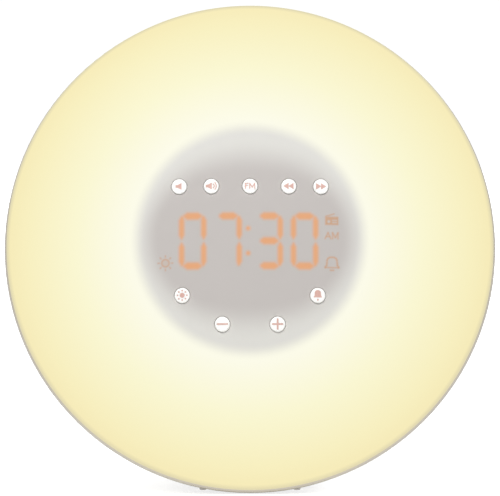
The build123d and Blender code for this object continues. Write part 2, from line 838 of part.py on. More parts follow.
with BuildPart() as speaker_basket:
    with BuildSketch(speaker_face.offset(flange_front)):
        flange_outline(basket_opening)
    extrude(amount=basket_thickness)
    with BuildSketch(speaker_radial):
        with BuildLine():
            Polyline(
                (basket_opening, flange_front),
                (basket_opening + basket_thickness, flange_front),
                (basket_neck_radius + basket_thickness, basket_back),
                (coil_outer + magnet_gap, basket_back),
                (coil_outer + magnet_gap, basket_floor),
                (basket_neck_radius, basket_floor),
                close=True,
            )
        make_face()
    revolve(axis=speaker_axis)
    with BuildSketch(speaker_face.offset(flange_back + basket_depth / 4)):
        with PolarLocations(basket_neck_radius + basket_window_width / 2, basket_window_count):
            Rectangle(1.5 * basket_window_width, basket_window_width)
    extrude(amount=basket_depth / 2, mode=Mode.SUBTRACT)
save(speaker_basket, "speaker_basket")


flat_rings = {
    "speaker_plate": (plate_front, plate_radius, coil_outer + magnet_gap, plate_thickness),
    "speaker_magnet": (plate_back + seat_gap, magnet_radius, magnet_hole_radius, magnet_thickness),
    "voice_coil": (coil_front, coil_outer, coil_radius, coil_length),
    "speaker_spider": (spider_front, spider_radius, cone_neck, spider_thickness),
}

for ring_name, (ring_level, ring_outer, ring_inner, ring_thickness) in flat_rings.items():
    with BuildPart() as flat_ring:
        with BuildSketch(speaker_face.offset(ring_level)):
            Circle(ring_outer)
            Circle(ring_inner, mode=Mode.SUBTRACT)
        extrude(amount=ring_thickness)
    save(flat_ring, ring_name)

with BuildPart() as speaker_yoke:
    with BuildSketch(speaker_face.offset(yoke_back)):
        Circle(plate_radius)
    extrude(amount=-plate_thickness)
    with BuildSketch(speaker_face.offset(yoke_back)):
        Circle(coil_radius - magnet_gap)
    extrude(amount=plate_front - yoke_back)
save(speaker_yoke, "speaker_yoke")

cone_front = flange_front - seat_gap / 2
cone_slope = cone_drop / (cone_radius - cone_neck)
cap_radius = cone_neck + 1.5
cap_edge = cone_front + cone_drop - cone_slope * (cap_radius - cone_neck) - cone_thickness

with BuildPart() as speaker_cone:
    with BuildSketch(speaker_radial):
        with BuildLine():
            Polyline(
                (cone_radius, cone_front),
                (cone_radius, cone_front + cone_thickness),
                (cone_neck, cone_front + cone_drop + cone_thickness),
                (cone_neck, cone_front + cone_drop),
                close=True,
            )
        make_face()
    revolve(axis=speaker_axis)
save(speaker_cone, "speaker_cone")

with BuildPart() as speaker_cap:
    with BuildSketch(speaker_radial):
        with BuildLine():
            cap_front = TangentArc((0, cap_edge - cap_rise), (cap_radius, cap_edge), tangent=(1, 0))
            cap_back = TangentArc(
                (0, cap_edge - cap_rise + cone_thickness),
                (cap_radius - cone_thickness, cap_edge),
                tangent=(1, 0),
            )
            Line(cap_front @ 1, cap_back @ 1)
            Line(cap_front @ 0, cap_back @ 0)
        make_face()
    revolve(axis=speaker_axis)
save(speaker_cap, "speaker_cap")

roll_inner = cone_radius
roll_outer = basket_opening
surround_level = cone_front - surround_thickness / 2 - seat_gap / 2
roll_middle = ((roll_inner + roll_outer) / 2, surround_level - (roll_outer - roll_inner) / 2)

with BuildPart() as speaker_surround:
    with BuildSketch(speaker_radial):
        with BuildLine() as surround_line:
            Line((roll_inner - surround_flat, surround_level), (roll_inner, surround_level))
            ThreePointArc((roll_inner, surround_level), roll_middle, (roll_outer, surround_level))
            Line((roll_outer, surround_level), (roll_outer + surround_flat, surround_level))
        trace(line_width=surround_thickness)
    revolve(axis=speaker_axis)
save(speaker_surround, "speaker_surround")

# ---- Grille ------------------------------------------------------------------------------
grille_face = Plane(origin=(0, rear_y, speaker_height), x_dir=(-1, 0, 0), z_dir=(0, 1, 0))

with BuildPart() as speaker_grille:
    with BuildSketch(grille_face):
        Circle(grille_radius)
        Circle(grille_hole_radius, mode=Mode.SUBTRACT)
        for turn in range(1, grille_ring_count + 1):
            with PolarLocations(turn * grille_pitch, 6 * turn):
                Circle(grille_hole_radius, mode=Mode.SUBTRACT)
    extrude(amount=seat_gap - grille_thickness)
    fillet(speaker_grille.faces().sort_by(Axis.Y)[-1].outer_wire().edges(), 4 * seat_gap)
save(speaker_grille, "speaker_grille")

# ---- Screws ------------------------------------------------------------------------------
led_screw_places = [
    (
        led_circle * cos(radians(led_screw_angle + i * led_screw_step)),
        led_circle * sin(radians(led_screw_angle + i * led_screw_step)),
    )
    for i in range(led_screw_count)
]


def flipped(plane):
    """The same plane seen from its other side."""
    return Plane(plane.origin, plane.x_dir, -plane.z_dir)


def mirrored(places):
    """Places in the flipped plane."""
    return [(x, -y) for x, y in places]


with BuildPart() as housing_screws:
    head_plane = face.offset(boss_face_level - screw_seat - seat_gap)
    with BuildSketch(head_plane):
        with Locations(*housing_screw_places):
            Circle(screw_radius)
    extrude(amount=screw_length)
    with BuildSketch(head_plane):
        with Locations(*housing_screw_places):
            Circle(screw_head_radius)
    extrude(amount=-screw_head_height)
save(housing_screws, "housing_screws")

# each entry: the plane under the heads, looking along the threads, and the places in it
small_screw_sets = (
    (flipped(face.offset(board_front_level + seat_gap)), mirrored(post_places)),
    (face.offset(reflector_back - seat_gap), post_places),
    (face.offset(led_board_back - seat_gap), led_screw_places),
    (flipped(board_top.offset(seat_gap)), mirrored(board_places)),
    (flipped(speaker_face.offset(flange_back + seat_gap)), mirrored(ear_places)),
)

with BuildPart() as small_screws:
    for head_plane, places in small_screw_sets:
        with BuildSketch(head_plane):
            with Locations(*places):
                Circle(small_screw_radius)
        extrude(amount=small_screw_length - 2 * seat_gap)
        with BuildSketch(head_plane):
            with Locations(*places):
                Circle(small_head_radius)
        extrude(amount=-small_head_height)
save(small_screws, "small_screws")

# ---- Feet --------------------------------------------------------------------------------
foot_height = base_height + foot_plug_depth - seat_gap

with BuildPart() as front_feet:
    with BuildSketch(Plane.XY):
        with Locations(*front_foot_places):
            Circle(front_foot_radius)
    extrude(amount=foot_height)
    fillet(front_feet.faces().group_by(Axis.Z)[0].edges(), 5 * seat_gap)
save(front_feet, "front_feet")

with BuildPart() as rear_foot:
    with BuildSketch(Plane.XY):
        with Locations((0, rear_foot_y)):
            SlotOverall(rear_foot_width, rear_foot_length)
    extrude(amount=foot_height)
    fillet(rear_foot.faces().sort_by(Axis.Z)[0].edges(), 5 * seat_gap)
save(rear_foot, "rear_foot")

# ---- Leads -------------------------------------------------------------------------------


def at_face(x, y, level):
    """A point given in the face's own axes."""
    return face.from_local_coords((x, y, level))


ribbon_start = at_face(0, ribbon_height, ribbon_end_level - seat_gap)
ribbon_turn = at_face(0, ribbon_height, reflector_back - ribbon_slot_depth)
ribbon_foot = board_top.from_local_coords((*ribbon_socket_place, ribbon_socket_height + seat_gap))

with BuildPart() as display_ribbon:
    with BuildSketch(Plane.YZ):
        with BuildLine() as ribbon_line:
            Line((ribbon_start.Y, ribbon_start.Z), (ribbon_turn.Y, ribbon_turn.Z))
            Spline(
                (ribbon_turn.Y, ribbon_turn.Z),
                (ribbon_foot.Y, ribbon_foot.Z),
                tangents=((lean_cos, -lean_sin), (0, -1)),
            )
        trace(line_width=ribbon_thickness)
    extrude(amount=ribbon_width / 2, both=True)
save(display_ribbon, "display_ribbon")

led_lead_start = at_face(
    led_circle * cos(radians(led_lead_angle)),
    led_circle * sin(radians(led_lead_angle)),
    led_board_back - seat_gap,
)
led_lead_end = board_top.from_local_coords((*led_socket_place, lead_socket_height + seat_gap))
speaker_lead_start = (
    0,
    rear_inner_y - speaker_ring_height - flange_back - seat_gap,
    speaker_height - basket_radius + 2 * wire_radius,
)
speaker_lead_end = board_top.from_local_coords((*speaker_socket_place, lead_socket_height + seat_gap))
leads = {
    "led_lead": (led_lead_start, (0, lean_cos, -lean_sin), led_lead_end),
    "speaker_lead": (speaker_lead_start, (0, -1, 0), speaker_lead_end),
}

for lead_name, (lead_start, start_direction, lead_end) in leads.items():
    with BuildPart() as lead:
        for shift in (Vector(-wire_pitch / 2, 0, 0), Vector(wire_pitch / 2, 0, 0)):
            with BuildLine() as wire_line:
                Spline(
                    Vector(lead_start) + shift,
                    Vector(lead_end) + shift,
                    tangents=(start_direction, (0, 0, -1)),
                )
            with BuildSketch(Plane(wire_line.line @ 0, z_dir=wire_line.line % 0)):
                Circle(wire_radius)
            sweep(path=wire_line.line)
    save(lead, lead_name)
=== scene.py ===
import math

import bmesh
import bpy
import numpy as np
from mathutils import Matrix, Vector


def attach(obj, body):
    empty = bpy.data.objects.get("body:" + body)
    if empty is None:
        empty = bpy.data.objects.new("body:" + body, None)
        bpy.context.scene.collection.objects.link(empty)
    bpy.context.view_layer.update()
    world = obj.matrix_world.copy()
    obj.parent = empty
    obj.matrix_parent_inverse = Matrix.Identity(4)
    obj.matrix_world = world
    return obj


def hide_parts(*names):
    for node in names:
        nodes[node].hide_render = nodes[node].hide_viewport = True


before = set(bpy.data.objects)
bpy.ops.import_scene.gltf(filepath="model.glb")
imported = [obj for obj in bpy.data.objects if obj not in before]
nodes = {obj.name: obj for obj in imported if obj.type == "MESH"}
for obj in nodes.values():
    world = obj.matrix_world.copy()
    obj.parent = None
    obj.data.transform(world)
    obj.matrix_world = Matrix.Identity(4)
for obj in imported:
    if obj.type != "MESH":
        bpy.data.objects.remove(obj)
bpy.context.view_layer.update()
scene = bpy.context.scene
print("frame loaded")

perMetre = 1e3  # keys' places, figures and pictures are in millimetres, all else is in metres
sharpAbove = math.radians(35)  # an edge sharper than this stays sharp
white = (1.0, 1.0, 1.0, 1.0)
black = (0.0, 0.0, 0.0, 1.0)

# the clock's face: its middle lies where dome and rim meet
face = {
    "middle": Vector((0, -0.02394, 0.09582)),
    "lean": math.radians(10.7),
    "rimRadius": 0.0965,
    "domeRadius": 0.23451,
    "domeHeight": 0.030,
}
across = Vector((1, 0, 0))
upward = Vector((0, math.sin(face["lean"]), math.cos(face["lean"])))
outward = Vector((0, -math.cos(face["lean"]), math.sin(face["lean"])))
faceTurn = (face["lean"] - math.pi / 2, 0, 0)
faceShift = -(Matrix.Rotation(faceTurn[0], 3, "X") @ face["middle"])


def onFace(x, y, level):
    return face["middle"] + across * x + upward * y + outward * level


def domeLevel(x, y, proud=0.0):
    reach = face["domeRadius"] + proud
    return face["domeHeight"] - face["domeRadius"] + math.sqrt(reach**2 - x * x - y * y)


# what every node tree is made with
def feed(tree, node, values):
    # a value is set on its socket, an output is linked to it, and the outputs in a list all join it
    for key, value in (values or {}).items():
        for one in value if isinstance(value, list) else [value]:
            if isinstance(one, bpy.types.NodeSocket):
                tree.links.new(one, node.inputs[key])
            else:
                node.inputs[key].default_value = one
    return node


def nodeIn(tree, kind, values=None, **settings):
    node = tree.nodes.new(kind)
    for key, value in settings.items():
        setattr(node, key, value)
    return feed(tree, node, values)


def put(tree, kind, values=None, **settings):
    return nodeIn(tree, "ShaderNode" + kind, values, **settings)


def calc(tree, operation, *values):
    return put(tree, "Math", dict(enumerate(values)), operation=operation).outputs[0]


def vectorOf(tree, *parts):
    return put(tree, "CombineXYZ", dict(enumerate(parts))).outputs[0]


def placeOf(tree, turn=(0, 0, 0), shift=(0, 0, 0), stretch=(1, 1, 1)):
    place = put(tree, "TexCoord").outputs["Object"]
    values = {"Vector": place, "Location": shift, "Rotation": turn, "Scale": stretch}
    return put(tree, "Mapping", values).outputs[0]


def noise(tree, at, scale, detail=2.0, rough=0.5):
    values = {"Vector": at, "Scale": scale, "Detail": detail, "Roughness": rough}
    return put(tree, "TexNoise", values).outputs["Fac"]


def blendTones(tree, amount, first, second):
    return put(tree, "Mix", {0: amount, 6: first, 7: second}, data_type="RGBA").outputs[2]


def spread(tree, value, low, high, fromLow=0.35, fromHigh=0.65):
    values = {0: value, 1: fromLow, 2: fromHigh, 3: low, 4: high}
    return put(tree, "MapRange", values).outputs[0]


def mottled(tree, cloud, colour, shade):
    return blendTones(tree, spread(tree, cloud, 0.0, 1.0), colour, shade)


def grain(tree, height, strength, depth, **below):
    return put(tree, "Bump", {"Height": height, "Strength": strength, "Distance": depth, **below}).outputs[0]


def tone(red, green, blue):
    # screen colour from 0 to 255, as the linear values that a shader takes
    parts = [c / 255 for c in (red, green, blue)]
    return (*[c / 12.92 if c <= 0.04045 else ((c + 0.055) / 1.055) ** 2.4 for c in parts], 1.0)


def finishOf(name, rule, *look):
    # a new material; rule() gives what its shader takes
    material = bpy.data.materials.new(name)
    material.use_nodes = True
    tree = material.node_tree
    feed(tree, tree.nodes["Principled BSDF"], rule(tree, *look))
    return material


def mouldedLook(tree, colour, shade, cloud, fine, rough, depth, sockets=None, strength=0.3):
    # a fine grain over slow changes of tone and gloss
    at = placeOf(tree)
    slow = noise(tree, at, cloud, 4.0, 0.6)
    return {
        "Base Color": mottled(tree, slow, tone(*colour), tone(*shade)),
        "Roughness": spread(tree, slow, *rough),
        "Normal": grain(tree, noise(tree, at, fine, 2.0, 0.55), strength, depth),
        **(sockets or {}),
    }


def dress(material, *names):
    for name in names:
        for slot in nodes[name].material_slots:
            slot.material = material


def dressAll(rule, table):
    # a row has the finish's name, the nodes that wear it, and its look
    for name, (members, *look) in table.items():
        dress(finishOf(name, rule, *look), *members)


def placed(name, data):
    thing = bpy.data.objects.new(name, data)
    scene.collection.objects.link(thing)
    return thing


# camera, light and floor
studio = {
    "distance": 5.0,
    "elevation": math.radians(3.5),
    "width": 0.1965,  # what the view takes in at the face
    "clipEnd": 60,
    "worldLevel": 0.25,
    "lampsAimAt": Vector((0, 0, 0.09)),
    "lamps": [  # place, size, watts, tint, whether it shines back from glossy surfaces
        ((-0.5, -1.5, 1.9), 0.6, 31.0, (1.0, 0.99, 0.98), True),
        ((1.5, -1.5, 1.2), 1.2, 6.0, (0.985, 0.99, 1.0), True),
        ((0.8, 2.0, 0.45), 1.0, 24.0, (1.0, 1.0, 1.0), False),
        ((-1.1, 1.7, 0.4), 1.2, 7.0, (1.0, 1.0, 1.0), False),
        ((0.0, -2.2, 0.35), 1.0, 3.5, (1.0, 1.0, 1.0), True),
    ],
    "floorHalf": 20.0,
    "floorTone": 0.82,
    "floorLift": 0.78,  # how much paler the camera sees the floor than it is
}


def aim(thing, place, target):
    thing.location = place
    thing.rotation_euler = (target - Vector(place)).to_track_quat("-Z", "Y").to_euler()


def setCamera():
    lens = bpy.data.cameras.new("camera")
    lens.lens = lens.sensor_width * studio["distance"] / studio["width"]
    lens.clip_end = studio["clipEnd"]
    camera = placed("camera", lens)
    away = Vector((0, -math.cos(studio["elevation"]), math.sin(studio["elevation"])))
    aim(camera, face["middle"] + away * studio["distance"], face["middle"])
    scene.camera = camera


def setLamps():
    for i, (place, size, watts, tint, glossy) in enumerate(studio["lamps"]):
        lamp = bpy.data.lights.new(f"softbox{i}", "AREA")
        lamp.size = size
        lamp.energy = watts
        lamp.color = tint
        softbox = placed(lamp.name, lamp)
        softbox.visible_glossy = glossy
        aim(softbox, place, studio["lampsAimAt"])


def setWorld():
    # white to the camera and in reflections, soft light for all else
    world = bpy.data.worlds.new("studio")
    world.use_nodes = True
    scene.world = world
    tree = world.node_tree
    tree.nodes.clear()
    path = put(tree, "LightPath").outputs
    reflected = calc(tree, "MAXIMUM", path["Is Glossy Ray"], path["Is Transmission Ray"])
    seen = calc(tree, "MAXIMUM", path["Is Camera Ray"], reflected)
    soft = put(tree, "Background", {"Color": white, "Strength": studio["worldLevel"]})
    plain = put(tree, "Background", {"Color": white, "Strength": 1.0})
    mix = put(tree, "MixShader", {0: seen, 1: soft.outputs[0], 2: plain.outputs[0]})
    put(tree, "OutputWorld", {"Surface": mix.outputs[0]})


def floorLook(tree):
    lift = calc(tree, "MULTIPLY", put(tree, "LightPath").outputs["Is Camera Ray"], studio["floorLift"])
    lifted = put(tree, "Emission", {"Strength": lift})
    shader = tree.nodes["Principled BSDF"]
    both = put(tree, "AddShader", {0: shader.outputs[0], 1: lifted.outputs[0]})
    feed(tree, tree.nodes["Material Output"], {"Surface": both.outputs[0]})
    return {"Base Color": (*[studio["floorTone"]] * 3, 1), "Roughness": 0.9, "Specular IOR Level": 0.1}


def addFloor():
    half = studio["floorHalf"]
    mesh = bpy.data.meshes.new("floor")
    corners = [(-half, -half, 0), (half, -half, 0), (half, half, 0), (-half, half, 0)]
    mesh.from_pydata(corners, [], [(0, 1, 2, 3)])
    mesh.materials.append(finishOf("paleFloor", floorLook))
    placed("floor", mesh)


scene.view_settings.view_transform = "Standard"
setCamera()
setLamps()
setWorld()
addFloor()
print("studio set")


# the lit dome: grey over the display, partly painted shade, cream round it and yellow at the rim, with
# painted shade on the rounded edge and in the key holes
glow = {
    "greyEnd": (0.0355, 0.0250),  # where the grey ends, across and upward
    "paleEnd": (0.0450, 0.0400),  # and where it is palest
    "creamFrom": 0.0413,
    "creamAt": 0.0475,
    # the grey is partly the dark display tower seen through the dome and partly painted shade where the tower
    # keeps the lamp's light off it
    "grey": tone(202, 197, 194),
    "well": tone(150, 146, 142),  # painted shade inside the key holes, where no light gets through
    "wellDepth": 0.0005,
    "pale": tone(228, 227, 222),
    "towardRim": (  # from where the cream starts, to the seam
        (0.0, tone(252, 251, 233)),
        (0.41, tone(250, 247, 211)),
        (0.8, tone(248, 240, 193)),
        (0.95, tone(247, 236, 186)),
        # the last two stops are painted shade where the rounded edge turns away from the light
        (0.966, tone(235, 225, 180)),
        (0.98, tone(219, 211, 174)),
    ),
    "edgeShadeShift": 0.0005,  # the painted shade on the rounded edge starts sooner at the top and later at the bottom
    "selfLitGrey": 0.12,
    "selfLitGlow": 0.95,
    "grain": (1800.0, 0.15, 0.00002),  # scale, strength and depth
    "specular": 0.04,
    "rough": (0.48, 0.56),
    "litRough": 0.52,
}


def makeGlowGroup():
    group = bpy.data.node_groups.new("domeGlow", "ShaderNodeTree")
    group.interface.new_socket("Colour", in_out="OUTPUT", socket_type="NodeSocketColor")
    group.interface.new_socket("Lit", in_out="OUTPUT", socket_type="NodeSocketFloat")
    parts = put(group, "SeparateXYZ", {0: placeOf(group, faceTurn, faceShift)}).outputs

    def step(operation, *values):
        return calc(group, operation, *values)

    def between(value, low, high, ease="LINEAR"):
        return put(group, "MapRange", {0: value, 1: low, 2: high}, interpolation_type=ease).outputs[0]

    xx = step("MULTIPLY", parts[0], parts[0])
    yy = step("MULTIPLY", parts[1], parts[1])
    rr = step("MAXIMUM", step("ADD", xx, yy), 1e-9)
    radius = step("SQRT", rr)
    tilt = step("DIVIDE", yy, rr)

    def reach(ends):
        # a radius that changes from its value across to its value upward
        return step("MULTIPLY_ADD", tilt, ends[1] - ends[0], ends[0])

    shifted = step("MULTIPLY_ADD", parts[1], glow["edgeShadeShift"] / face["rimRadius"], radius)
    toRim = put(group, "ValToRGB", {0: between(shifted, glow["creamAt"], face["rimRadius"])})
    elements = toRim.color_ramp.elements
    while len(elements) < len(glow["towardRim"]):
        elements.new(0.5)
    for element, (position, colour) in zip(elements, glow["towardRim"]):
        element.position = position
        element.color = colour
    fading = between(radius, reach(glow["greyEnd"]), reach(glow["paleEnd"]), "SMOOTHSTEP")
    above = step("ADD", parts[2], face["domeRadius"] - face["domeHeight"])
    fromCentre = step("SQRT", step("MULTIPLY_ADD", above, above, rr))
    # painted shade: below the dome's outer surface, in the walls of the key holes, the colour turns to the
    # dark well tone
    deep = spread(group, fromCentre, 1.0, 0.0, face["domeRadius"] - glow["wellDepth"], face["domeRadius"])
    shadedGreys = blendTones(group, deep, blendTones(group, fading, glow["grey"], glow["pale"]), glow["well"])
    turning = between(radius, glow["creamFrom"], glow["creamAt"], "SMOOTHSTEP")
    whole = blendTones(group, turning, shadedGreys, toRim.outputs[0])
    lit = spread(group, turning, glow["selfLitGrey"], glow["selfLitGlow"], 0.0, 1.0)
    nodeIn(group, "NodeGroupOutput", {"Colour": whole, "Lit": lit})
    return group


glowGroup = makeGlowGroup()


def lightUp(tree, whole, lit):
    # part of the colour comes from inside, the rest from the room
    scale, *relief = glow["grain"]
    return {
        "Base Color": blendTones(tree, calc(tree, "SUBTRACT", 1.0, lit), black, whole),
        "Emission Color": blendTones(tree, lit, black, whole),
        "Emission Strength": 1.0,
        "Specular IOR Level": glow["specular"],
        "Normal": grain(tree, noise(tree, placeOf(tree), scale), *relief),
    }


def opalLook(tree):
    group = put(tree, "Group", node_tree=glowGroup).outputs
    slow = noise(tree, placeOf(tree), 30.0, 3.0)
    return {**lightUp(tree, group["Colour"], group["Lit"]), "Roughness": spread(tree, slow, *glow["rough"])}


def ringSolid(shape, centre, rings, segments):
    # a closed turned shape round an axis square to the face; a ring has a radius, and a level or its rule
    x, y = centre
    rows = []
    for radius, rule in rings:
        row = []
        for i in range(segments if radius > 0 else 1):
            turn = 2 * math.pi * i / segments
            u, v = x + radius * math.cos(turn), y + radius * math.sin(turn)
            row.append(shape.verts.new(onFace(u, v, rule(u, v) if callable(rule) else rule)))
        rows.append(row)
    if len(rows[0]) > 1 and len(rows[-1]) > 1:
        rows.append(rows[0])
    for row, after in zip(rows, rows[1:]):
        for i in range(segments):
            j = (i + 1) % segments
            loop = [row[i % len(row)], after[i % len(after)], after[j % len(after)], row[j % len(row)]]
            loop = [v for k, v in enumerate(loop) if v is not loop[k - 1]]
            if len(loop) > 2:
                shape.faces.new(loop)
    bmesh.ops.recalc_face_normals(shape, faces=shape.faces)
    return shape


def pieceOf(name, shape, material):
    if isinstance(shape, bmesh.types.BMesh):
        mesh = bpy.data.meshes.new(name)
        shape.to_mesh(mesh)
        shape.free()
    else:
        mesh = shape
        mesh.name = name
    mesh.materials.clear()
    mesh.materials.append(material)
    mesh.polygons.foreach_set("use_smooth", [True] * len(mesh.polygons))
    mesh.set_sharp_from_angle(angle=sharpAbove)
    return placed(name, mesh)


def evaluated(piece):
    depsgraph = bpy.context.evaluated_depsgraph_get()
    return bpy.data.meshes.new_from_object(piece.evaluated_get(depsgraph))


keyPlaces = {
    "volume_down": (-27.7, 20.7),
    "volume_up": (-15.15, 20.7),
    "radio": (0.0, 20.7),
    "previous": (15.15, 20.7),
    "next": (27.7, 20.7),
    "light": (-26.5, -22.2),
    "alarm": (26.5, -22.2),
    "minus": (-10.8, -33.5),
    "plus": (10.8, -33.5),
}

dome = {
    "radius": 0.09569,
    "edgeRadius": 0.010,
    "skirt": 0.003,
    "foot": 0.0001,
    "footBevel": 0.0002,
    "wall": 0.0024,
    "crownSteps": (60, 15),  # rings outside and inside
    "edgeSteps": (14, 10),
    "segments": 256,
    "holeRadius": 0.00315,
    "holeEase": 0.00024,
    "holeEasing": ((0.0, -1.0), (0.35, -0.35), (1.2, 0.2)),  # outward and upward, in shares of the ease
    "holeSegments": 64,
    "cut": (0.012, 0.034),  # from below the wall to above the dome
}


def domeShell():
    middle = dome["radius"] - dome["edgeRadius"]
    sweep = math.asin(middle / (face["domeRadius"] - dome["edgeRadius"]))

    def crown(radius, steps):
        # from the middle to where the rounded edge begins
        turns = [sweep * i / steps for i in range(steps + 1)]
        base = face["domeHeight"] - face["domeRadius"]
        return [(radius * math.sin(turn), base + radius * math.cos(turn)) for turn in turns]

    def edge(radius, steps, last):
        turns = [sweep + (math.pi / 2 - sweep) * i / steps for i in range(1, last + 1)]
        return [(middle + radius * math.sin(turn), dome["skirt"] + radius * math.cos(turn)) for turn in turns]

    (crownOut, crownIn), (edgeOut, edgeIn) = dome["crownSteps"], dome["edgeSteps"]
    wall, bevel, within = dome["wall"], dome["footBevel"], dome["radius"] - dome["wall"]
    rings = crown(face["domeRadius"], crownOut) + edge(dome["edgeRadius"], edgeOut, edgeOut)
    rings += [(dome["radius"], dome["foot"] + bevel), (dome["radius"] - bevel, dome["foot"])]
    rings += [(within, dome["foot"]), (within, dome["skirt"])]
    rings += edge(dome["edgeRadius"] - wall, edgeIn, edgeIn - 1)[::-1]
    rings += crown(face["domeRadius"] - wall, crownIn)[::-1]
    return ringSolid(bmesh.new(), (0, 0), rings, dome["segments"])


def holeCutters():
    # a plug for each key hole, wider at the top so that the hole's edge is eased
    straight, ease = dome["holeRadius"], dome["holeEase"]
    low, high = dome["cut"]

    def above(share):
        return lambda u, v: domeLevel(u, v) + ease * share

    eased = [(straight + ease * out, above(up)) for out, up in dome["holeEasing"]]
    rings = [(0, low), (straight, low), *eased, (eased[-1][0], high), (0, high)]
    cutters = bmesh.new()
    for x, y in keyPlaces.values():
        ringSolid(cutters, (x / perMetre, y / perMetre), rings, dome["holeSegments"])
    return cutters


def addDome():
    opal = finishOf("opalDome", opalLook)
    shell = pieceOf("shell", domeShell(), opal)
    cutters = pieceOf("cutters", holeCutters(), opal)
    holes = shell.modifiers.new("holes", "BOOLEAN")
    holes.operation = "DIFFERENCE"
    holes.solver = "EXACT"
    holes.object = cutters
    piece = pieceOf("opalDome", evaluated(shell), opal)
    for helper in (shell, cutters):
        bpy.data.objects.remove(helper)
    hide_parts("diffuser")
    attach(piece, "clock")


addDome()
print("dome lit")


# figures and pictures, in millimetres on the face; each shape gives the distance to its edge
def disc(x, y, radius):
    return lambda u, v: np.hypot(u - x, v - y) - radius


def ring(x, y, radius, half):
    return lambda u, v: np.abs(np.hypot(u - x, v - y) - radius) - half


def stroke(start, end, half):
    (ax, ay), (bx, by) = start, end
    dx, dy = bx - ax, by - ay
    reach = dx * dx + dy * dy

    def distance(u, v):
        t = np.clip(((u - ax) * dx + (v - ay) * dy) / reach, 0, 1)
        return np.hypot(u - ax - t * dx, v - ay - t * dy) - half

    return distance


def strokes(points, half):
    return [stroke(a, b, half) for a, b in zip(points, points[1:])]


def patch(*corners, rounding=0.0):
    # a convex patch, its corners counterclockwise, and rounded by growing it
    sides = list(zip(corners, corners[1:] + corners[:1]))

    def distance(u, v):
        planes, edges = [], []
        for start, end in sides:
            length = math.dist(start, end)
            nx, ny = (end[1] - start[1]) / length, (start[0] - end[0]) / length
            planes.append((u - start[0]) * nx + (v - start[1]) * ny)
            edges.append(stroke(start, end, 0.0)(u, v))
        within = np.max(planes, axis=0)
        return np.where(within < 0, within, np.min(edges, axis=0)) - rounding

    return distance


def box(x, y, wide, high, rounding=0.0):
    # a patch with square corners, by its middle and half sizes
    low, top = y - high, y + high
    return patch((x - wide, low), (x + wide, low), (x + wide, top), (x - wide, top), rounding=rounding)


def arc(x, y, radius, half, opening):
    # an arc open to the left, its ends at plus and minus the opening angle
    def distance(u, v):
        turn = np.clip(np.arctan2(v - y, u - x), -opening, opening)
        return np.hypot(u - x - radius * np.cos(turn), v - y - radius * np.sin(turn)) - half

    return distance


def mirrored(shape):
    return lambda u, v: shape(-u, v)


def dimmed(shape, least):
    # held back from its full light: at the least distance where it is well inside
    return lambda u, v: np.maximum(shape(u, v), least)


def without(shape, *holes):
    return lambda u, v: np.max([shape(u, v)] + [-hole(u, v) for hole in holes], axis=0)


# a lit skin is a patch laid over a surface: its edge lies under it, and it comes out where its light begins
skin = {
    "faint": 0.012,  # the light at its edge
    "shown": 0.045,  # where it comes out
    "full": 0.1,  # where it has its whole height
    "margin": 4.5,  # how far the light is followed past a shape, in softnesses
    "overDome": (-0.00001, 0.000014, 0.00005),  # height at the edge, full height, and how far it sinks in
    "overCap": (0.000002, 0.00001, 0.00002),
}


def traceShapes(shapes, low, high, cell, soft):
    # marching squares round the lit part of a grid: each shape's light fades over its edge, and adds up
    faint, margin = skin["faint"], soft * skin["margin"]
    us = np.arange(low[0] - margin, high[0] + margin + cell, cell)
    vs = np.arange(low[1] - margin, high[1] + margin + cell, cell)
    gridU, gridV = np.meshgrid(us, vs, indexing="ij")
    dark = np.ones(gridU.shape)
    for shape in shapes:
        dark *= 1 / (1 + np.exp(np.clip(-shape(gridU, gridV) / soft, -30, 30)))
    lit = 1 - dark
    points, glows, faces, known = [], [], [], {}

    def corner(i, j):
        if (i, j) not in known:
            known[i, j] = len(points)
            points.append((us[i], vs[j]))
            glows.append(float(lit[i, j]))
        return known[i, j]

    def crossing(a, b):
        key = (a, b) if a < b else (b, a)
        if key not in known:
            (i, j), (k, m) = key
            t = (faint - lit[i, j]) / (lit[k, m] - lit[i, j])
            known[key] = len(points)
            points.append((us[i] + (us[k] - us[i]) * t, vs[j] + (vs[m] - vs[j]) * t))
            glows.append(faint)
        return known[key]

    inside = lit > faint
    for i in range(len(us) - 1):
        for j in range(len(vs) - 1):
            corners = ((i, j), (i + 1, j), (i + 1, j + 1), (i, j + 1))
            loop = []
            for a, b in zip(corners, corners[1:] + corners[:1]):
                if inside[a]:
                    loop.append(corner(*a))
                if inside[a] != inside[b]:
                    loop.append(crossing(a, b))
            if len(loop) >= 3:
                faces.append(loop)
    return points, glows, faces


def layOn(name, traced, surface, heights, material, centre=(0, 0)):
    # a thin closed skin over a curved surface, from its edge's height up to its full height
    points, glows, faces = traced
    edgeHeight, fullHeight, sink = heights
    places = [((centre[0] + x) / perMetre, (centre[1] + y) / perMetre) for x, y in points]
    verts = []
    for (x, y), g in zip(places, glows):
        share = min((g - skin["faint"]) / (skin["full"] - skin["faint"]), 1.0)
        verts.append(onFace(x, y, surface(x, y) + edgeHeight + (fullHeight - edgeHeight) * share))
    verts += [onFace(x, y, surface(x, y) - sink) for x, y in places]
    shown = [max(0.0, (g - skin["shown"]) / (1 - skin["shown"])) for g in glows]
    count = len(points)
    edges = {pair: None for loop in faces for pair in zip(loop, loop[1:] + loop[:1])}
    walls = [(b, a, a + count, b + count) for a, b in edges if (b, a) not in edges]
    under = [tuple(i + count for i in reversed(loop)) for loop in faces]
    mesh = bpy.data.meshes.new(name)
    mesh.from_pydata(verts, [], [tuple(loop) for loop in faces] + walls + under)
    mesh.attributes.new("glow", "FLOAT", "POINT").data.foreach_set("value", shown + shown)
    mesh.polygons.foreach_set("use_smooth", [i < len(faces) for i in range(len(mesh.polygons))])
    mesh.materials.append(material)
    mesh.validate()
    return placed(name, mesh)


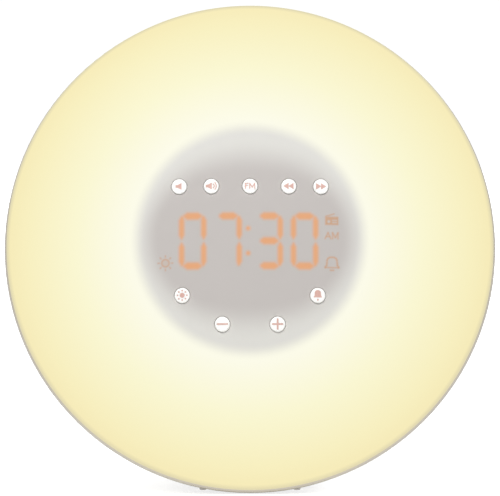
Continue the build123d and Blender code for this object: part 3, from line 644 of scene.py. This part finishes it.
display = {
    "centres": (-22.4, -8.53, 7.5, 21.33),
    "text": ("abcdef", "abc", "abcdg", "abcdef"),
    "field": ((-28.1, -12.2), (26.8, 10.3)),  # the corners of what the figures take up
    "middleHeight": -0.9,
    "barAcross": 4.33,  # from a figure's middle to its upright bars
    "barUpward": 9.8,  # and to its top and bottom bar
    "uprightHalf": 1.1,
    "uprightTip": (-0.05, -0.3, 0.05),  # its outer end: corners across, and how far it stays short
    "levelHalf": 1.45,
    "levelLength": 3.52,
    "levelTip": (0.85, 0.25),  # shares of the shoulder and of the half height
    "shoulder": 1.35,  # how far from its tip a bar has its full width
    "gap": 0.68,
    "rounding": 0.4,
    "colonAt": -0.7,
    "colonApart": 4.9,
    "colonRadius": 0.88,
    "soft": 0.3,
    "cell": 0.22,
    "core": tone(232, 171, 126),
    "litCore": 0.6,
}


def levelBar(x, y):
    rounding = display["rounding"]
    taper, blunt = display["levelTip"]
    half, reach = display["levelHalf"] - rounding, display["levelLength"] - rounding
    flat, tip = reach - display["shoulder"] * taper, half * blunt
    corners = [(reach, -tip), (reach, tip), (flat, half), (-flat, half), (-reach, tip), (-reach, -tip)]
    corners += [(-flat, -half), (flat, -half)]
    return patch(*[(x + a, y + b) for a, b in corners], rounding=rounding)


def uprightBar(x, y, side, way):
    # side and way are 1 or -1: right or left of the figure's middle, above or below it
    rounding = display["rounding"]
    right, left, short = display["uprightTip"]
    half, inner = display["uprightHalf"] - rounding, display["gap"] + rounding
    outer = display["barUpward"] - short - rounding
    low, high = inner + display["shoulder"], outer - display["shoulder"]
    corners = [(0, inner), (half, low), (half, high), (right, outer), (left, outer)]
    corners += [(-half, high), (-half, low)]
    corners = [(x + side * (display["barAcross"] + a), y + way * b) for a, b in corners]
    return patch(*(corners if side * way > 0 else corners[::-1]), rounding=rounding)


def figureBars(x, middle, text):
    # the seven bars of a figure: a on top, then clockwise, g in the middle
    bars = {
        "a": levelBar(x, middle + display["barUpward"]),
        "b": uprightBar(x, middle, 1, 1),
        "c": uprightBar(x, middle, 1, -1),
        "d": levelBar(x, middle - display["barUpward"]),
        "e": uprightBar(x, middle, -1, -1),
        "f": uprightBar(x, middle, -1, 1),
        "g": levelBar(x, middle),
    }
    return [bars[letter] for letter in text]


def litLook(tree, core, litCore):
    # the dome's own glow, crossed by the light of the figures behind it
    group = put(tree, "Group", node_tree=glowGroup).outputs
    strength = put(tree, "Attribute", attribute_name="glow").outputs["Fac"]
    whole = blendTones(tree, strength, group["Colour"], core)
    lit = put(tree, "Mix", {0: strength, 2: group["Lit"], 3: litCore}, data_type="FLOAT").outputs[0]
    return {**lightUp(tree, whole, lit), "Roughness": glow["litRough"]}


def addFigures():
    shapes = []
    for x, text in zip(display["centres"], display["text"]):
        shapes += figureBars(x, display["middleHeight"], text)
    for side in (-1, 1):
        y = display["middleHeight"] + side * display["colonApart"]
        shapes.append(disc(display["colonAt"], y, display["colonRadius"]))
    traced = traceShapes(shapes, *display["field"], display["cell"], display["soft"])
    finish = finishOf("litAmber", litLook, display["core"], display["litCore"])
    piece = layOn("litFigures", traced, domeLevel, skin["overDome"], finish)
    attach(piece, "clock")


addFigures()

signs = {
    "cell": 0.11,
    "soft": 0.14,
    "line": 0.22,
    "half": 3.4,  # of the square that a sign takes up
    "core": tone(206, 168, 141),
    "litCore": 0.5,
    "sunAt": (-33.05, -9.45),
    "radioAt": (31.95, 7.2),
    "morningAt": (31.95, 1.3),
    "bellAt": (32.05, -9.75),
}
eighths = [(math.cos(i * math.pi / 4), math.sin(i * math.pi / 4)) for i in range(8)]


def sunShapes(x, y, line):
    rays = [((x + 2.45 * a, y + 2.45 * b), (x + 2.85 * a, y + 2.85 * b)) for a, b in eighths]
    shapes = [ring(x, y, 1.42, line)] + [stroke(start, end, line) for start, end in rays]
    return shapes + [dimmed(disc(x, y, 1.4), 0.15)]


def bellLine(x, y, width, height):
    # half of a bell's outline from its crown down to its lip
    crown = [(0.0, 1.0), (0.16, 0.985), (0.3, 0.9), (0.37, 0.74), (0.385, 0.5)]
    lip = [(0.4, 0.32), (0.5, 0.16), (0.5, 0.12)]
    return [(x + width * a, y + height * b) for a, b in crown + lip]


def radioShapes(x, y, line):
    # a small radio: a case with its dial and two slots left dark, and an aerial
    dial = disc(x - 1.15, y - 0.3, 0.5)
    slots = [stroke((x + 0.4, y + a), (x + 1.8, y + a), line * 0.7) for a in (0.2, -0.65)]
    case = without(box(x, y, 2.4, 1.45, rounding=0.2), dial, *slots)
    return [case, stroke((x - 2.2, y + 1.8), (x + 0.9, y + 2.75), line)]


def morningShapes(x, y, line):
    shapes = strokes([(x - 2.6, y - 1.15), (x - 1.45, y + 1.15), (x - 0.35, y - 1.15)], line)
    shapes.append(stroke((x - 2.1, y - 0.35), (x - 0.8, y - 0.35), line))
    corners = ((0.35, -1.15), (0.35, 1.15), (1.4, -0.6), (2.45, 1.15), (2.45, -1.15))
    return shapes + strokes([(x + a, y + b) for a, b in corners], line)


def bellShapes(x, y, line):
    half = bellLine(x, y - 2.0, 5.2, 4.6)
    shapes = strokes(half, line) + strokes([(2 * x - u, v) for u, v in half], line)
    shapes.append(stroke((x - 2.6, y - 1.45), (x + 2.6, y - 1.45), line))
    shapes.append(stroke((x - 0.6, y - 2.5), (x + 0.6, y - 2.5), line * 1.2))
    return shapes


def addSigns():
    finish = finishOf("signAmber", litLook, signs["core"], signs["litCore"])
    draw = {"sun": sunShapes, "radio": radioShapes, "morning": morningShapes, "bell": bellShapes}
    half = signs["half"]
    for name, shapesOf in draw.items():
        x, y = signs[name + "At"]
        shapes = shapesOf(x, y, signs["line"])
        traced = traceShapes(shapes, (x - half, y - half), (x + half, y + half), signs["cell"], signs["soft"])
        piece = layOn(name + "Sign", traced, domeLevel, skin["overDome"], finish)
        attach(piece, "clock")


addSigns()
print("display lit")


# the keys' caps and the picture on each
caps = {
    "proud": 0.0009,
    "radius": 0.00295,
    "ease": 0.0005,
    "flange": 0.0041,
    "flangeThickness": 0.0008,
    "flangeGap": 0.0002,
    "stem": 0.0014,
    "stemEnd": 0.0206,
    "topSteps": 4,
    "easeSteps": 5,
    "segments": 64,
    "pale": tone(250, 250, 248),
    "ink": (tone(221, 175, 164), tone(225, 183, 172)),
    "cell": 0.1,
    "soft": 0.05,
    "line": 0.22,
    "half": 2.3,  # of the square that a picture takes up
}


def horn(x):
    mouth = patch((x + 0.7, -0.5), (x + 2.3, -1.3), (x + 2.3, 1.3), (x + 0.7, 0.5))
    return [box(x + 0.45, 0, 0.45, 0.5), mouth]


def solidBell():
    # slices from the middle out to the outline, and the same on the left
    right, overlap = [], 1e-4
    outline = bellLine(0, -1.15, 3.1, 3.1)
    for (ax, ay), (bx, by) in zip(outline, outline[1:]):
        low, high = min(ay, by), max(ay, by) + overlap
        right.append(patch((0, low), (bx, by), (ax + overlap, ay), (0, high)))
    return right + [mirrored(shape) for shape in right]


def pictures():
    line = caps["line"]
    thin = line * 0.8
    waves = [arc(0.0, 0, radius, line * 0.75, 0.75) for radius in (1.15, 1.95)]
    letters = strokes([(-1.75, -1.0), (-1.75, 1.0), (-0.75, 1.0)], thin)
    letters += strokes([(-1.75, 0.1), (-0.9, 0.1)], thin)
    letters += strokes([(-0.1, -1.0), (-0.1, 1.0), (0.85, -0.5), (1.8, 1.0), (1.8, -1.0)], thin)
    left = [patch((-2.05, 0), (-0.1, -1.2), (-0.1, 1.2)), patch((-0.15, 0), (1.85, -1.2), (1.85, 1.2))]
    return {
        "volume_down": horn(-1.4),
        "volume_up": horn(-2.1) + waves,
        "radio": letters,
        "previous": left,
        "next": [mirrored(shape) for shape in left],
        "light": [disc(0, 0, 0.95)] + [disc(1.82 * a, 1.82 * b, 0.3) for a, b in eighths],
        "alarm": solidBell() + [disc(0, -1.75, 0.36)],
        "minus": [box(0, 0, 2.15, 0.28)],
        "plus": [box(0, 0, 2.12, 0.3), box(0, 0, 0.3, 2.12)],
    }


def printLook(tree):
    speck = noise(tree, placeOf(tree), 2600.0)
    ink = mottled(tree, speck, *caps["ink"])
    strength = put(tree, "Attribute", attribute_name="glow").outputs["Fac"]
    return {
        "Base Color": blendTones(tree, spread(tree, strength, 0.0, 1.0, 0.15, 0.7), caps["pale"], ink),
        "Roughness": spread(tree, speck, 0.4, 0.55),
        "Normal": grain(tree, speck, 0.2, 0.00001),
    }


def addPictures():
    finish = finishOf("salmonPrint", printLook)
    half = caps["half"]

    def capLevel(x, y):
        return domeLevel(x, y, caps["proud"])

    for name, shapes in pictures().items():
        traced = traceShapes(shapes, (-half, -half), (half, half), caps["cell"], caps["soft"])
        piece = layOn("print_" + name, traced, capLevel, skin["overCap"], finish, keyPlaces[name])
        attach(piece, name + "_key")


def addCaps(finish):
    radius, ease, flange = caps["radius"], caps["ease"], caps["flange"]
    stem, stemEnd = caps["stem"], caps["stemEnd"]
    sunk = -(dome["wall"] + caps["flangeGap"])

    def top(drop=0.0):
        return lambda u, v: domeLevel(u, v, caps["proud"]) - drop

    def underDome(u, v):
        return domeLevel(u, v, sunk)

    rounded = [((radius - ease) * i / caps["topSteps"], top()) for i in range(caps["topSteps"] + 1)]
    for i in range(1, caps["easeSteps"] + 1):
        turn = math.pi / 2 * i / caps["easeSteps"]
        rounded.append((radius - ease * (1 - math.sin(turn)), top(ease * (1 - math.cos(turn)))))
    for name, (x, y) in keyPlaces.items():
        x, y = x / perMetre, y / perMetre
        low = domeLevel(math.hypot(x, y) + flange, 0, sunk) - caps["flangeThickness"]
        rings = rounded + [(radius, underDome), (flange, underDome), (flange, low)]
        rings += [(stem, low), (stem, stemEnd), (0, stemEnd)]
        piece = pieceOf("cap_" + name, ringSolid(bmesh.new(), (x, y), rings, caps["segments"]), finish)
        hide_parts("key_" + name)
        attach(piece, name + "_key")


# painted light: the caps are not lit from inside, yet glow a little to stay bright white
keyPaintedGlow = {"Emission Color": tone(255, 252, 248), "Emission Strength": 0.14}
keyWhite = ((253, 253, 251), (250, 250, 248), 160, 3200, (0.3, 0.38), 1e-5, keyPaintedGlow, 0.2)
addCaps(finishOf("keyWhite", mouldedLook, *keyWhite))
addPictures()
print("keys printed")


# housing: white plastic with a fine moulded grain; near the face its rim is painted darker and given a
# painted glow, brighter low down, in place of the dome's light and the shade on it
housing = {
    "colour": tone(232, 230, 224),
    "shade": tone(228, 226, 219),
    # painted shade: the rim near the face is far darker than the white housing, to hold down the light
    # falling on it
    "rim": tone(84, 80, 75),
    "paintedRimGlow": (tone(192, 185, 172), tone(126, 119, 106)),  # painted glow at the lowest and highest place of the rim, brighter low down where the rim is in shade
    "rimDepth": 0.0035,
    "grain": 2300.0,
}


def housingLook(tree):
    at = placeOf(tree, faceTurn, faceShift)
    parts = put(tree, "SeparateXYZ", {0: at}).outputs
    slow = noise(tree, at, 26.0, 4.0, 0.6)
    pores = put(tree, "TexVoronoi", {"Vector": at, "Scale": housing["grain"] * 0.8}).outputs["Distance"]
    relief = put(tree, "Mix", {0: 0.4, 2: noise(tree, at, housing["grain"]), 3: pores}, data_type="FLOAT")
    plain = mottled(tree, slow, housing["colour"], housing["shade"])
    # the rim near the face takes the painted shade and the painted glow, graded from its bottom to its top
    paintedRimZone = spread(tree, parts[2], 0.0, 1.0, -housing["rimDepth"], 0.0)
    height = spread(tree, parts[1], 0.0, 1.0, -face["rimRadius"], face["rimRadius"])
    return {
        "Base Color": blendTones(tree, paintedRimZone, plain, housing["rim"]),
        "Emission Color": blendTones(tree, paintedRimZone, black, blendTones(tree, height, *housing["paintedRimGlow"])),
        "Emission Strength": 1.0,
        "Roughness": spread(tree, slow, 0.46, 0.54),
        "Specular IOR Level": 0.4,
        "Normal": grain(tree, relief.outputs[0], 0.5, 0.00004),
    }


dress(finishOf("housingWhite", housingLook), "rear_housing")

matt = {"Specular IOR Level": 0.25}
# painted light: the front feet glow a little, to lift them out of the shade under the rim
lifted = {"Emission Color": tone(220, 214, 206), "Emission Strength": 0.34}
painted = {"Metallic": 0.4}
plungers = ["plunger_" + name for name in keyPlaces]
sockets = ["lead_sockets", "ribbon_sockets"]
softParts = {  # nodes, colour, shade, scale of clouds and of grain, roughness, depth of grain, other sockets
    "grilleWhite": (["speaker_grille"], (226, 224, 218), (221, 219, 212), 60, 2600, (0.45, 0.55), 3e-5),
    "footRubber": (["rear_foot"], (196, 192, 187), (188, 184, 179), 300, 3000, (0.75, 0.85), 4e-5, matt),
    "footSilicone": (["front_feet"], (226, 222, 217), (218, 214, 209), 300, 3000, (0.6, 0.7), 3e-5, lifted),
    "glandRubber": (["aerial_gland"], (196, 194, 190), (184, 182, 178), 400, 3200, (0.7, 0.82), 4e-5, matt),
    "plungerWhite": (plungers, (232, 231, 227), (222, 221, 216), 500, 3600, (0.4, 0.5), 2e-5),
    "carrierGrey": (["display_carrier"], (150, 150, 148), (140, 140, 138), 70, 2000, (0.5, 0.62), 4e-5),
    "moduleBlack": (["display_module"], (40, 40, 41), (32, 32, 33), 120, 2800, (0.5, 0.65), 3e-5),
    "jackBlack": (["dc_jack"], (38, 38, 39), (30, 30, 31), 200, 3000, (0.42, 0.55), 3e-5),
    "chipBlack": (["processor", "amplifier"], (44, 44, 46), (36, 36, 38), 700, 5200, (0.55, 0.7), 2e-5),
    "socketNylon": (sockets, (238, 234, 222), (230, 225, 210), 300, 2600, (0.4, 0.5), 2e-5),
    "wireRed": (["led_lead"], (176, 40, 34), (160, 32, 28), 500, 3000, (0.32, 0.42), 2e-5),
    "wireBlack": (["speaker_lead"], (46, 46, 47), (36, 36, 37), 500, 3000, (0.35, 0.45), 2e-5),
    "reflectorWhite": (["reflector"], (244, 244, 241), (240, 240, 236), 40, 1600, (0.28, 0.38), 2e-5),
    "surroundRubber": (["speaker_surround"], (44, 44, 44), (36, 36, 36), 300, 3400, (0.55, 0.7), 3e-5),
    "basketPaint": (["speaker_basket"], (58, 58, 60), (48, 48, 50), 140, 2200, (0.38, 0.5), 4e-5, painted),
    "capPaper": (["speaker_cap"], (52, 51, 50), (42, 41, 40), 600, 2600, (0.75, 0.9), 6e-5),
    "capacitorSkin": (["backup_capacitor"], (52, 54, 66), (44, 46, 58), 300, 3400, (0.3, 0.4), 2e-5),
    "switchBlack": (["tact_switches"], (46, 46, 47), (38, 38, 39), 400, 3200, (0.45, 0.6), 2e-5),
}
dressAll(mouldedLook, softParts)
print("plastic and rubber dressed")


def foamLook(tree, colour, shade, cell):
    # open cells, darker inside
    at = placeOf(tree)
    cells = put(tree, "TexVoronoi", {"Vector": at, "Scale": cell}, feature="SMOOTH_F1").outputs["Distance"]
    return {
        "Base Color": blendTones(tree, spread(tree, cells, 0.0, 1.0, 0.1, 0.6), tone(*colour), tone(*shade)),
        "Roughness": spread(tree, noise(tree, at, cell * 1.7, 3.0), 0.85, 0.98),
        "Specular IOR Level": 0.15,
        "Normal": grain(tree, cells, 0.6, 0.00012),
    }


foams = {  # nodes, colour, shade, scale of the cells
    "sealFoam": (["light_seal"], (112, 112, 114), (84, 84, 86), 1500),
    "gasketFoam": (["speaker_gasket"], (44, 44, 45), (28, 28, 29), 1300),
}
dressAll(foamLook, foams)


def boardLook(tree, mask, leaning):
    # solder mask with the tracks under it and tinned pads
    colour, shade, copper, pitch = mask
    at = placeOf(tree, faceTurn, faceShift) if leaning else placeOf(tree)
    flat = put(tree, "Mapping", {"Vector": at, "Scale": (1, 1, 0)}).outputs[0]

    def cells(scale, random, **settings):
        values = {"Vector": flat, "Scale": scale, "Randomness": random}
        return put(tree, "TexVoronoi", values, **settings).outputs["Distance"]

    second, first = [cells(pitch, 0.75, distance="CHEBYCHEV", feature=rank) for rank in ("F2", "F1")]
    track = spread(tree, calc(tree, "SUBTRACT", second, first), 1.0, 0.0, 0.05, 0.09)
    pad = spread(tree, cells(pitch * 1.6, 0.9), 1.0, 0.0, 0.09, 0.12)
    slow = noise(tree, flat, 90.0, 3.0)
    tracked = blendTones(tree, track, mottled(tree, slow, colour, shade), copper)
    raised = grain(tree, calc(tree, "MAXIMUM", track, pad), 0.5, 0.00004)
    return {
        "Base Color": blendTones(tree, pad, tracked, tone(206, 204, 196)),
        "Metallic": calc(tree, "MULTIPLY", pad, 0.85),
        "Roughness": spread(tree, slow, 0.28, 0.4),
        "Normal": grain(tree, noise(tree, flat, 2400.0), 0.1, 0.00001, Normal=raised),
    }


greenMask = (tone(34, 98, 58), tone(28, 88, 50), tone(52, 122, 74), 230.0)  # colour, shade, tracks, pitch
whiteMask = (tone(238, 238, 235), tone(232, 232, 228), tone(224, 225, 220), 150.0)
boards = {  # nodes, mask, whether the board leans with the face
    "displayMask": (["display_board"], greenMask, True),
    "mainMask": (["main_board"], greenMask, False),
    "lampMask": (["led_board"], whiteMask, True),
}
dressAll(boardLook, boards)


def metalLook(tree, colour, shade, lines, stretch, stains, rough):
    # drawn or plated metal: fine lines one way, slow stains across
    drawn = noise(tree, placeOf(tree, stretch=stretch), lines, 3.0)
    slow = noise(tree, placeOf(tree), stains, 4.0)
    return {
        "Base Color": mottled(tree, slow, tone(*colour), tone(*shade)),
        "Roughness": spread(tree, drawn, *rough),
        "Metallic": 1.0,
        "Normal": grain(tree, drawn, 0.3, 0.00001),
    }


plates = ["speaker_plate", "speaker_yoke"]
metals = {  # nodes, colour, shade, scale of the lines and which way they run, scale of the stains, roughness
    "zincPlate": (plates, (190, 190, 182), (172, 170, 158), 900, (1, 0.2, 1), 160, (0.32, 0.46)),
    "shieldTin": (["radio_module"], (200, 200, 198), (184, 184, 180), 1400, (0.15, 1, 1), 260, (0.28, 0.4)),
    "canAluminium": (["capacitors"], (196, 199, 204), (182, 186, 190), 2200, (1, 1, 0.1), 400, (0.25, 0.36)),
    "pinNickel": (["jack_pin"], (222, 220, 214), (208, 205, 198), 3000, (1, 0.15, 1), 600, (0.14, 0.22)),
}
dressAll(metalLook, metals)


def bandedLook(tree, tones, bands, cloud, rough, relief, metallic=0.0):
    # fine ridges one after another: windings, conductors, weave or paper fibres
    at = placeOf(tree)
    colour, shade, groove = [tone(*part) for part in tones]
    ways, pitch, wander = bands
    values = {"Vector": at, "Scale": pitch, "Distortion": wander}
    ridges = [put(tree, "TexWave", values, bands_direction=way).outputs["Fac"] for way in ways]
    height = calc(tree, "MAXIMUM", *ridges) if len(ridges) > 1 else ridges[0]
    slow = noise(tree, at, cloud, 4.0)
    return {
        "Base Color": blendTones(tree, height, groove, mottled(tree, slow, colour, shade)),
        "Roughness": spread(tree, slow, *rough),
        "Metallic": metallic,
        "Normal": grain(tree, height, *relief),
    }


coilTones = ((196, 126, 78), (178, 108, 64), (112, 62, 34))  # colour, shade and groove
clothTones = ((206, 176, 104), (190, 158, 86), (146, 116, 58))
paperTones = ((50, 49, 48), (40, 39, 38), (28, 27, 26))
ribbonTones = ((196, 198, 202), (186, 188, 193), (138, 142, 150))
banded = {  # nodes, tones, the bands' ways, scale and wander, scale of clouds, roughness, relief, metal
    "coilCopper": (["voice_coil"], coilTones, (["Y"], 1050, 0.0), 500, (0.25, 0.34), (0.7, 6e-5), 0.9),
    "spiderCloth": (["speaker_spider"], clothTones, (["X", "Z"], 650, 0.6), 220, (0.7, 0.85), (0.6, 8e-5)),
    "conePaper": (["speaker_cone"], paperTones, (["DIAGONAL"], 420, 14.0), 700, (0.78, 0.92), (0.5, 8e-5)),
    "ribbonGrey": (["display_ribbon"], ribbonTones, (["X"], 314, 0.0), 200, (0.36, 0.46), (0.6, 1e-4)),
}
dressAll(bandedLook, banded)


def ferriteLook(tree):
    at = placeOf(tree)
    pits = put(tree, "TexVoronoi", {"Vector": at, "Scale": 900.0}).outputs["Distance"]
    slow = noise(tree, at, 110.0, 5.0)
    plain = mottled(tree, slow, tone(72, 72, 75), tone(58, 58, 61))
    return {
        "Base Color": blendTones(tree, spread(tree, pits, 1.0, 0.0, 0.1, 0.3), plain, tone(38, 38, 40)),
        "Roughness": spread(tree, slow, 0.55, 0.7),
        "Normal": grain(tree, pits, 0.4, 0.00006),
    }


def segmentLook(tree):
    # the module's light bars: milky amber, brighter in patches
    whole = mottled(tree, noise(tree, placeOf(tree), 420.0), tone(240, 158, 96), tone(250, 184, 124))
    return {"Base Color": whole, "Emission Color": whole, "Emission Strength": 0.5, "Roughness": 0.35}


dress(finishOf("magnetFerrite", ferriteLook), "speaker_magnet")
dress(finishOf("segmentAmber", segmentLook), "display_segments")
print("boards, metals and loudspeaker dressed")


# small repeated things, grown on points by node trees
def shapeIn(tree, kind, values, **settings):
    return nodeIn(tree, "GeometryNode" + kind, values, **settings).outputs[0]


def moved(tree, geometry, offset, scale=(1, 1, 1)):
    return shapeIn(tree, "Transform", {"Geometry": geometry, "Translation": offset, "Scale": scale})


def pointTree(name, sizes, build):
    # build() gives the geometry of one thing; the tree sets a copy on every point, turned as the point says
    tree = bpy.data.node_groups.new(name, "GeometryNodeTree")

    def socket(label, kind, way="INPUT"):
        return tree.interface.new_socket(label, in_out=way, socket_type="NodeSocket" + kind)

    socket("Geometry", "Geometry")
    for label, value in sizes.items():
        socket(label, "Float").default_value = value
    socket("Finish", "Material")
    socket("Geometry", "Geometry", "OUTPUT")
    given = nodeIn(tree, "NodeGroupInput").outputs
    turn = nodeIn(tree, "GeometryNodeInputNamedAttribute", {"Name": "turn"}, data_type="FLOAT_VECTOR")
    rotation = nodeIn(tree, "FunctionNodeEulerToRotation", {0: turn.outputs["Attribute"]}).outputs[0]
    values = {"Points": given["Geometry"], "Instance": build(tree, given), "Rotation": rotation}
    real = shapeIn(tree, "RealizeInstances", {0: shapeIn(tree, "InstanceOnPoints", values)})
    dressed = shapeIn(tree, "SetMaterial", {"Geometry": real, "Material": given["Finish"]})
    nodeIn(tree, "NodeGroupOutput", {"Geometry": dressed})
    return tree


def growOn(name, tree, places, turns, sizes, finish):
    mesh = bpy.data.meshes.new(name + "Points")
    mesh.from_pydata([tuple(place) for place in places], [], [])
    flatTurns = [angle for turn in turns for angle in turn]
    mesh.attributes.new("turn", "FLOAT_VECTOR", "POINT").data.foreach_set("vector", flatTurns)
    points = placed(name + "Points", mesh)
    modifier = points.modifiers.new("grow", "NODES")
    modifier.node_group = tree
    inputs = dict(sizes, Finish=finish)
    for item in tree.interface.items_tree:
        if item.in_out == "INPUT" and item.name in inputs:
            modifier[item.identifier] = inputs[item.name]
    piece = pieceOf(name, evaluated(points), finish)
    bpy.data.objects.remove(points)
    return piece


def solidsOf(name):
    # the corners of each separate solid in a CAD node
    shape = bmesh.new()
    shape.from_mesh(nodes[name].data)
    bmesh.ops.remove_doubles(shape, verts=shape.verts, dist=1e-6)
    left, groups = set(shape.verts), []
    for first in shape.verts:
        if first not in left:
            continue
        left.remove(first)
        front, group = [first], [first]
        while front:
            for link in front.pop().link_edges:
                for vert in link.verts:
                    if vert in left:
                        left.remove(vert)
                        front.append(vert)
                        group.append(vert)
        groups.append([vert.co.copy() for vert in group])
    shape.free()
    return groups


def screwHeads(name, length):
    # the middle of each screw's head and the way the head looks: along the screw's length, at its wide end
    ways = [way * side for way in (outward, Vector((0, 0, 1)), Vector((0, 1, 0))) for side in (1, -1)]
    nearEnd, weight = 1e-4, 4  # what belongs to an end, and how much a wrong length weighs
    found = []
    for corners in solidsOf(name):
        middle = sum(corners, Vector()) / len(corners)
        best = None
        for way in ways:
            along = [(c - middle).dot(way) for c in corners]
            end = max(along)
            top = [c for c, a in zip(corners, along) if a > end - nearEnd]
            centre = sum(top, Vector()) / len(top)
            wide = max((c - centre).length for c in top)
            score = abs(end - min(along) - length) * weight - wide
            if best is None or score < best[0]:
                best = (score, centre - way * (centre - middle).dot(way) + way * end, way)
        found.append(best[1:])
    return found


def turnOf(way, aside):
    return tuple(Matrix((aside, way.cross(aside), way)).transposed().to_quaternion().to_euler())


def screwBuild(tree, given):
    def size(label, factor=1.0):
        return calc(tree, "MULTIPLY", given[label], factor)

    def lowered(geometry, drop):
        # moved down the screw by a length
        return moved(tree, geometry, vectorOf(tree, 0.0, 0.0, calc(tree, "MULTIPLY", drop, -1.0)))

    def cone(count, label, top, bottom, depth):
        values = {"Radius Top": size(label, top), "Radius Bottom": size(label, bottom), "Depth": depth}
        return shapeIn(tree, "MeshCone", {"Vertices": count, **values})

    def block(wide, deep, down):
        return shapeIn(tree, "MeshCube", {"Size": vectorOf(tree, size(wide), size(deep), size(*down))})

    crown = lowered(cone(28, "Head Radius", 0.7, 0.95, size("Head Height", 0.45)), size("Head Height", 0.45))
    values = {"Vertices": 28, "Radius": size("Head Radius"), "Depth": size("Head Height", 0.6)}
    base = lowered(shapeIn(tree, "MeshCylinder", values), size("Head Height", 0.7))
    head = shapeIn(tree, "MeshBoolean", {"Mesh 2": [crown, base]}, operation="UNION")
    slots = [
        block("Recess Length", "Recess Width", ("Head Height", 1.2)),
        block("Recess Width", "Recess Length", ("Head Height", 1.14)),
    ]
    recessed = shapeIn(tree, "MeshBoolean", {"Mesh 1": head, "Mesh 2": slots}, operation="DIFFERENCE")
    bottom = calc(tree, "ADD", size("Head Height", 0.98), size("Shank Length"))
    core = lowered(cone(14, "Thread Radius", 0.78, 0.5, size("Shank Length")), bottom)
    coil = {
        "Resolution": 14,
        "Rotations": 7.0,
        "Start Radius": size("Thread Radius", 0.86),
        "End Radius": size("Thread Radius", 0.86),
        "Height": size("Shank Length", 0.84),
    }
    ridge = {"Resolution": 4, "Radius": size("Thread Radius", 0.13)}
    swept = {
        "Curve": shapeIn(tree, "CurveSpiral", coil),
        "Profile Curve": shapeIn(tree, "CurvePrimitiveCircle", ridge),
        "Fill Caps": True,
    }
    rise = calc(tree, "SUBTRACT", bottom, size("Shank Length", 0.06))
    thread = lowered(shapeIn(tree, "CurveToMesh", swept), rise)
    return shapeIn(tree, "JoinGeometry", {0: [recessed, core, thread]})


screws = {
    "housing_screws": {
        "length": 0.010,
        "Head Radius": 0.0029,
        "Head Height": 0.002,
        "Thread Radius": 0.0015,
        "Shank Length": 0.008,
        "Recess Length": 0.0034,
        "Recess Width": 0.0007,
    },
    "small_screws": {
        "length": 0.0073,
        "Head Radius": 0.0023,
        "Head Height": 0.0015,
        "Thread Radius": 0.0012,
        "Shank Length": 0.0058,
        "Recess Length": 0.0026,
        "Recess Width": 0.00055,
    },
}
screwZinc = ((186, 186, 188), (166, 166, 170), 1800, (1, 1, 1), 500, (0.26, 0.4))
driven = (0.7, 1.9)  # the first recess's angle, and how much further each next one is turned


def addScrews():
    steel = finishOf("screwZinc", metalLook, *screwZinc)
    usual = {label: size for label, size in screws["small_screws"].items() if label != "length"}
    tree = pointTree("crossScrew", usual, screwBuild)
    for name, sizes in screws.items():
        heads = screwHeads(name, sizes["length"])
        turns = []
        for i, (place, way) in enumerate(heads):
            aside = way.orthogonal().normalized()
            aside.rotate(Matrix.Rotation(driven[0] + driven[1] * i, 3, way))
            turns.append(turnOf(way, aside))
        piece = growOn(name + "Cross", tree, [place for place, way in heads], turns, sizes, steel)
        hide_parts(name)
        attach(piece, "clock")
        print(name, len(heads), "set")


addScrews()

lamps = {
    "bodySizes": {"Side": 0.003, "Body Height": 0.00055, "Lens Radius": 0.0012},
    "lensSizes": {"Lens Radius": 0.0012, "Flatness": 0.3, "Lens Level": 0.00042},
    "lensFit": 0.98,  # keeps a lens clear of its cup
    "back": 0.0004,
    "ceramic": ((240, 239, 232), (232, 231, 222), 900, 5000, (0.3, 0.4), 1e-5),
    "phosphor": ((246, 220, 96), (240, 208, 76), 1600, 6000, (0.25, 0.35), 1e-5),
    "phosphorGlow": {"Emission Color": tone(255, 228, 120), "Emission Strength": 0.6},
}


def lampBody(tree, given):
    side, height = given["Side"], given["Body Height"]
    block = shapeIn(tree, "MeshCube", {"Size": vectorOf(tree, side, side, height)})
    block = moved(tree, block, vectorOf(tree, 0.0, 0.0, calc(tree, "MULTIPLY", height, 0.5)))
    cup = shapeIn(tree, "MeshCylinder", {"Vertices": 20, "Radius": given["Lens Radius"], "Depth": height})
    cup = moved(tree, cup, vectorOf(tree, 0.0, 0.0, height))
    return shapeIn(tree, "MeshBoolean", {"Mesh 1": block, "Mesh 2": cup}, operation="DIFFERENCE")


def lampLens(tree, given):
    bead = shapeIn(tree, "MeshUVSphere", {"Segments": 20, "Rings": 10, "Radius": given["Lens Radius"]})
    lift = vectorOf(tree, 0.0, 0.0, given["Lens Level"])
    return moved(tree, bead, lift, vectorOf(tree, lamps["lensFit"], lamps["lensFit"], given["Flatness"]))


def addLamps():
    places, turns = [], []
    for corners in solidsOf("leds"):
        middle = sum(corners, Vector()) / len(corners)
        spoke = middle - face["middle"]
        spoke -= outward * spoke.dot(outward)
        places.append(middle - outward * lamps["back"])
        turns.append(turnOf(outward, spoke.normalized()))
    ceramic = finishOf("lampCeramic", mouldedLook, *lamps["ceramic"])
    phosphor = finishOf("lampPhosphor", mouldedLook, *lamps["phosphor"], lamps["phosphorGlow"])
    bodyTree = pointTree("lampBody", lamps["bodySizes"], lampBody)
    lensTree = pointTree("lampLens", lamps["lensSizes"], lampLens)
    body = growOn("lampBodies", bodyTree, places, turns, lamps["bodySizes"], ceramic)
    lens = growOn("lampLenses", lensTree, places, turns, lamps["lensSizes"], phosphor)
    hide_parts("leds")
    for piece, slotName in ((body, "board_white"), (lens, "led_yellow")):
        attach(piece, "clock")


addLamps()
print("screws and lamps set")
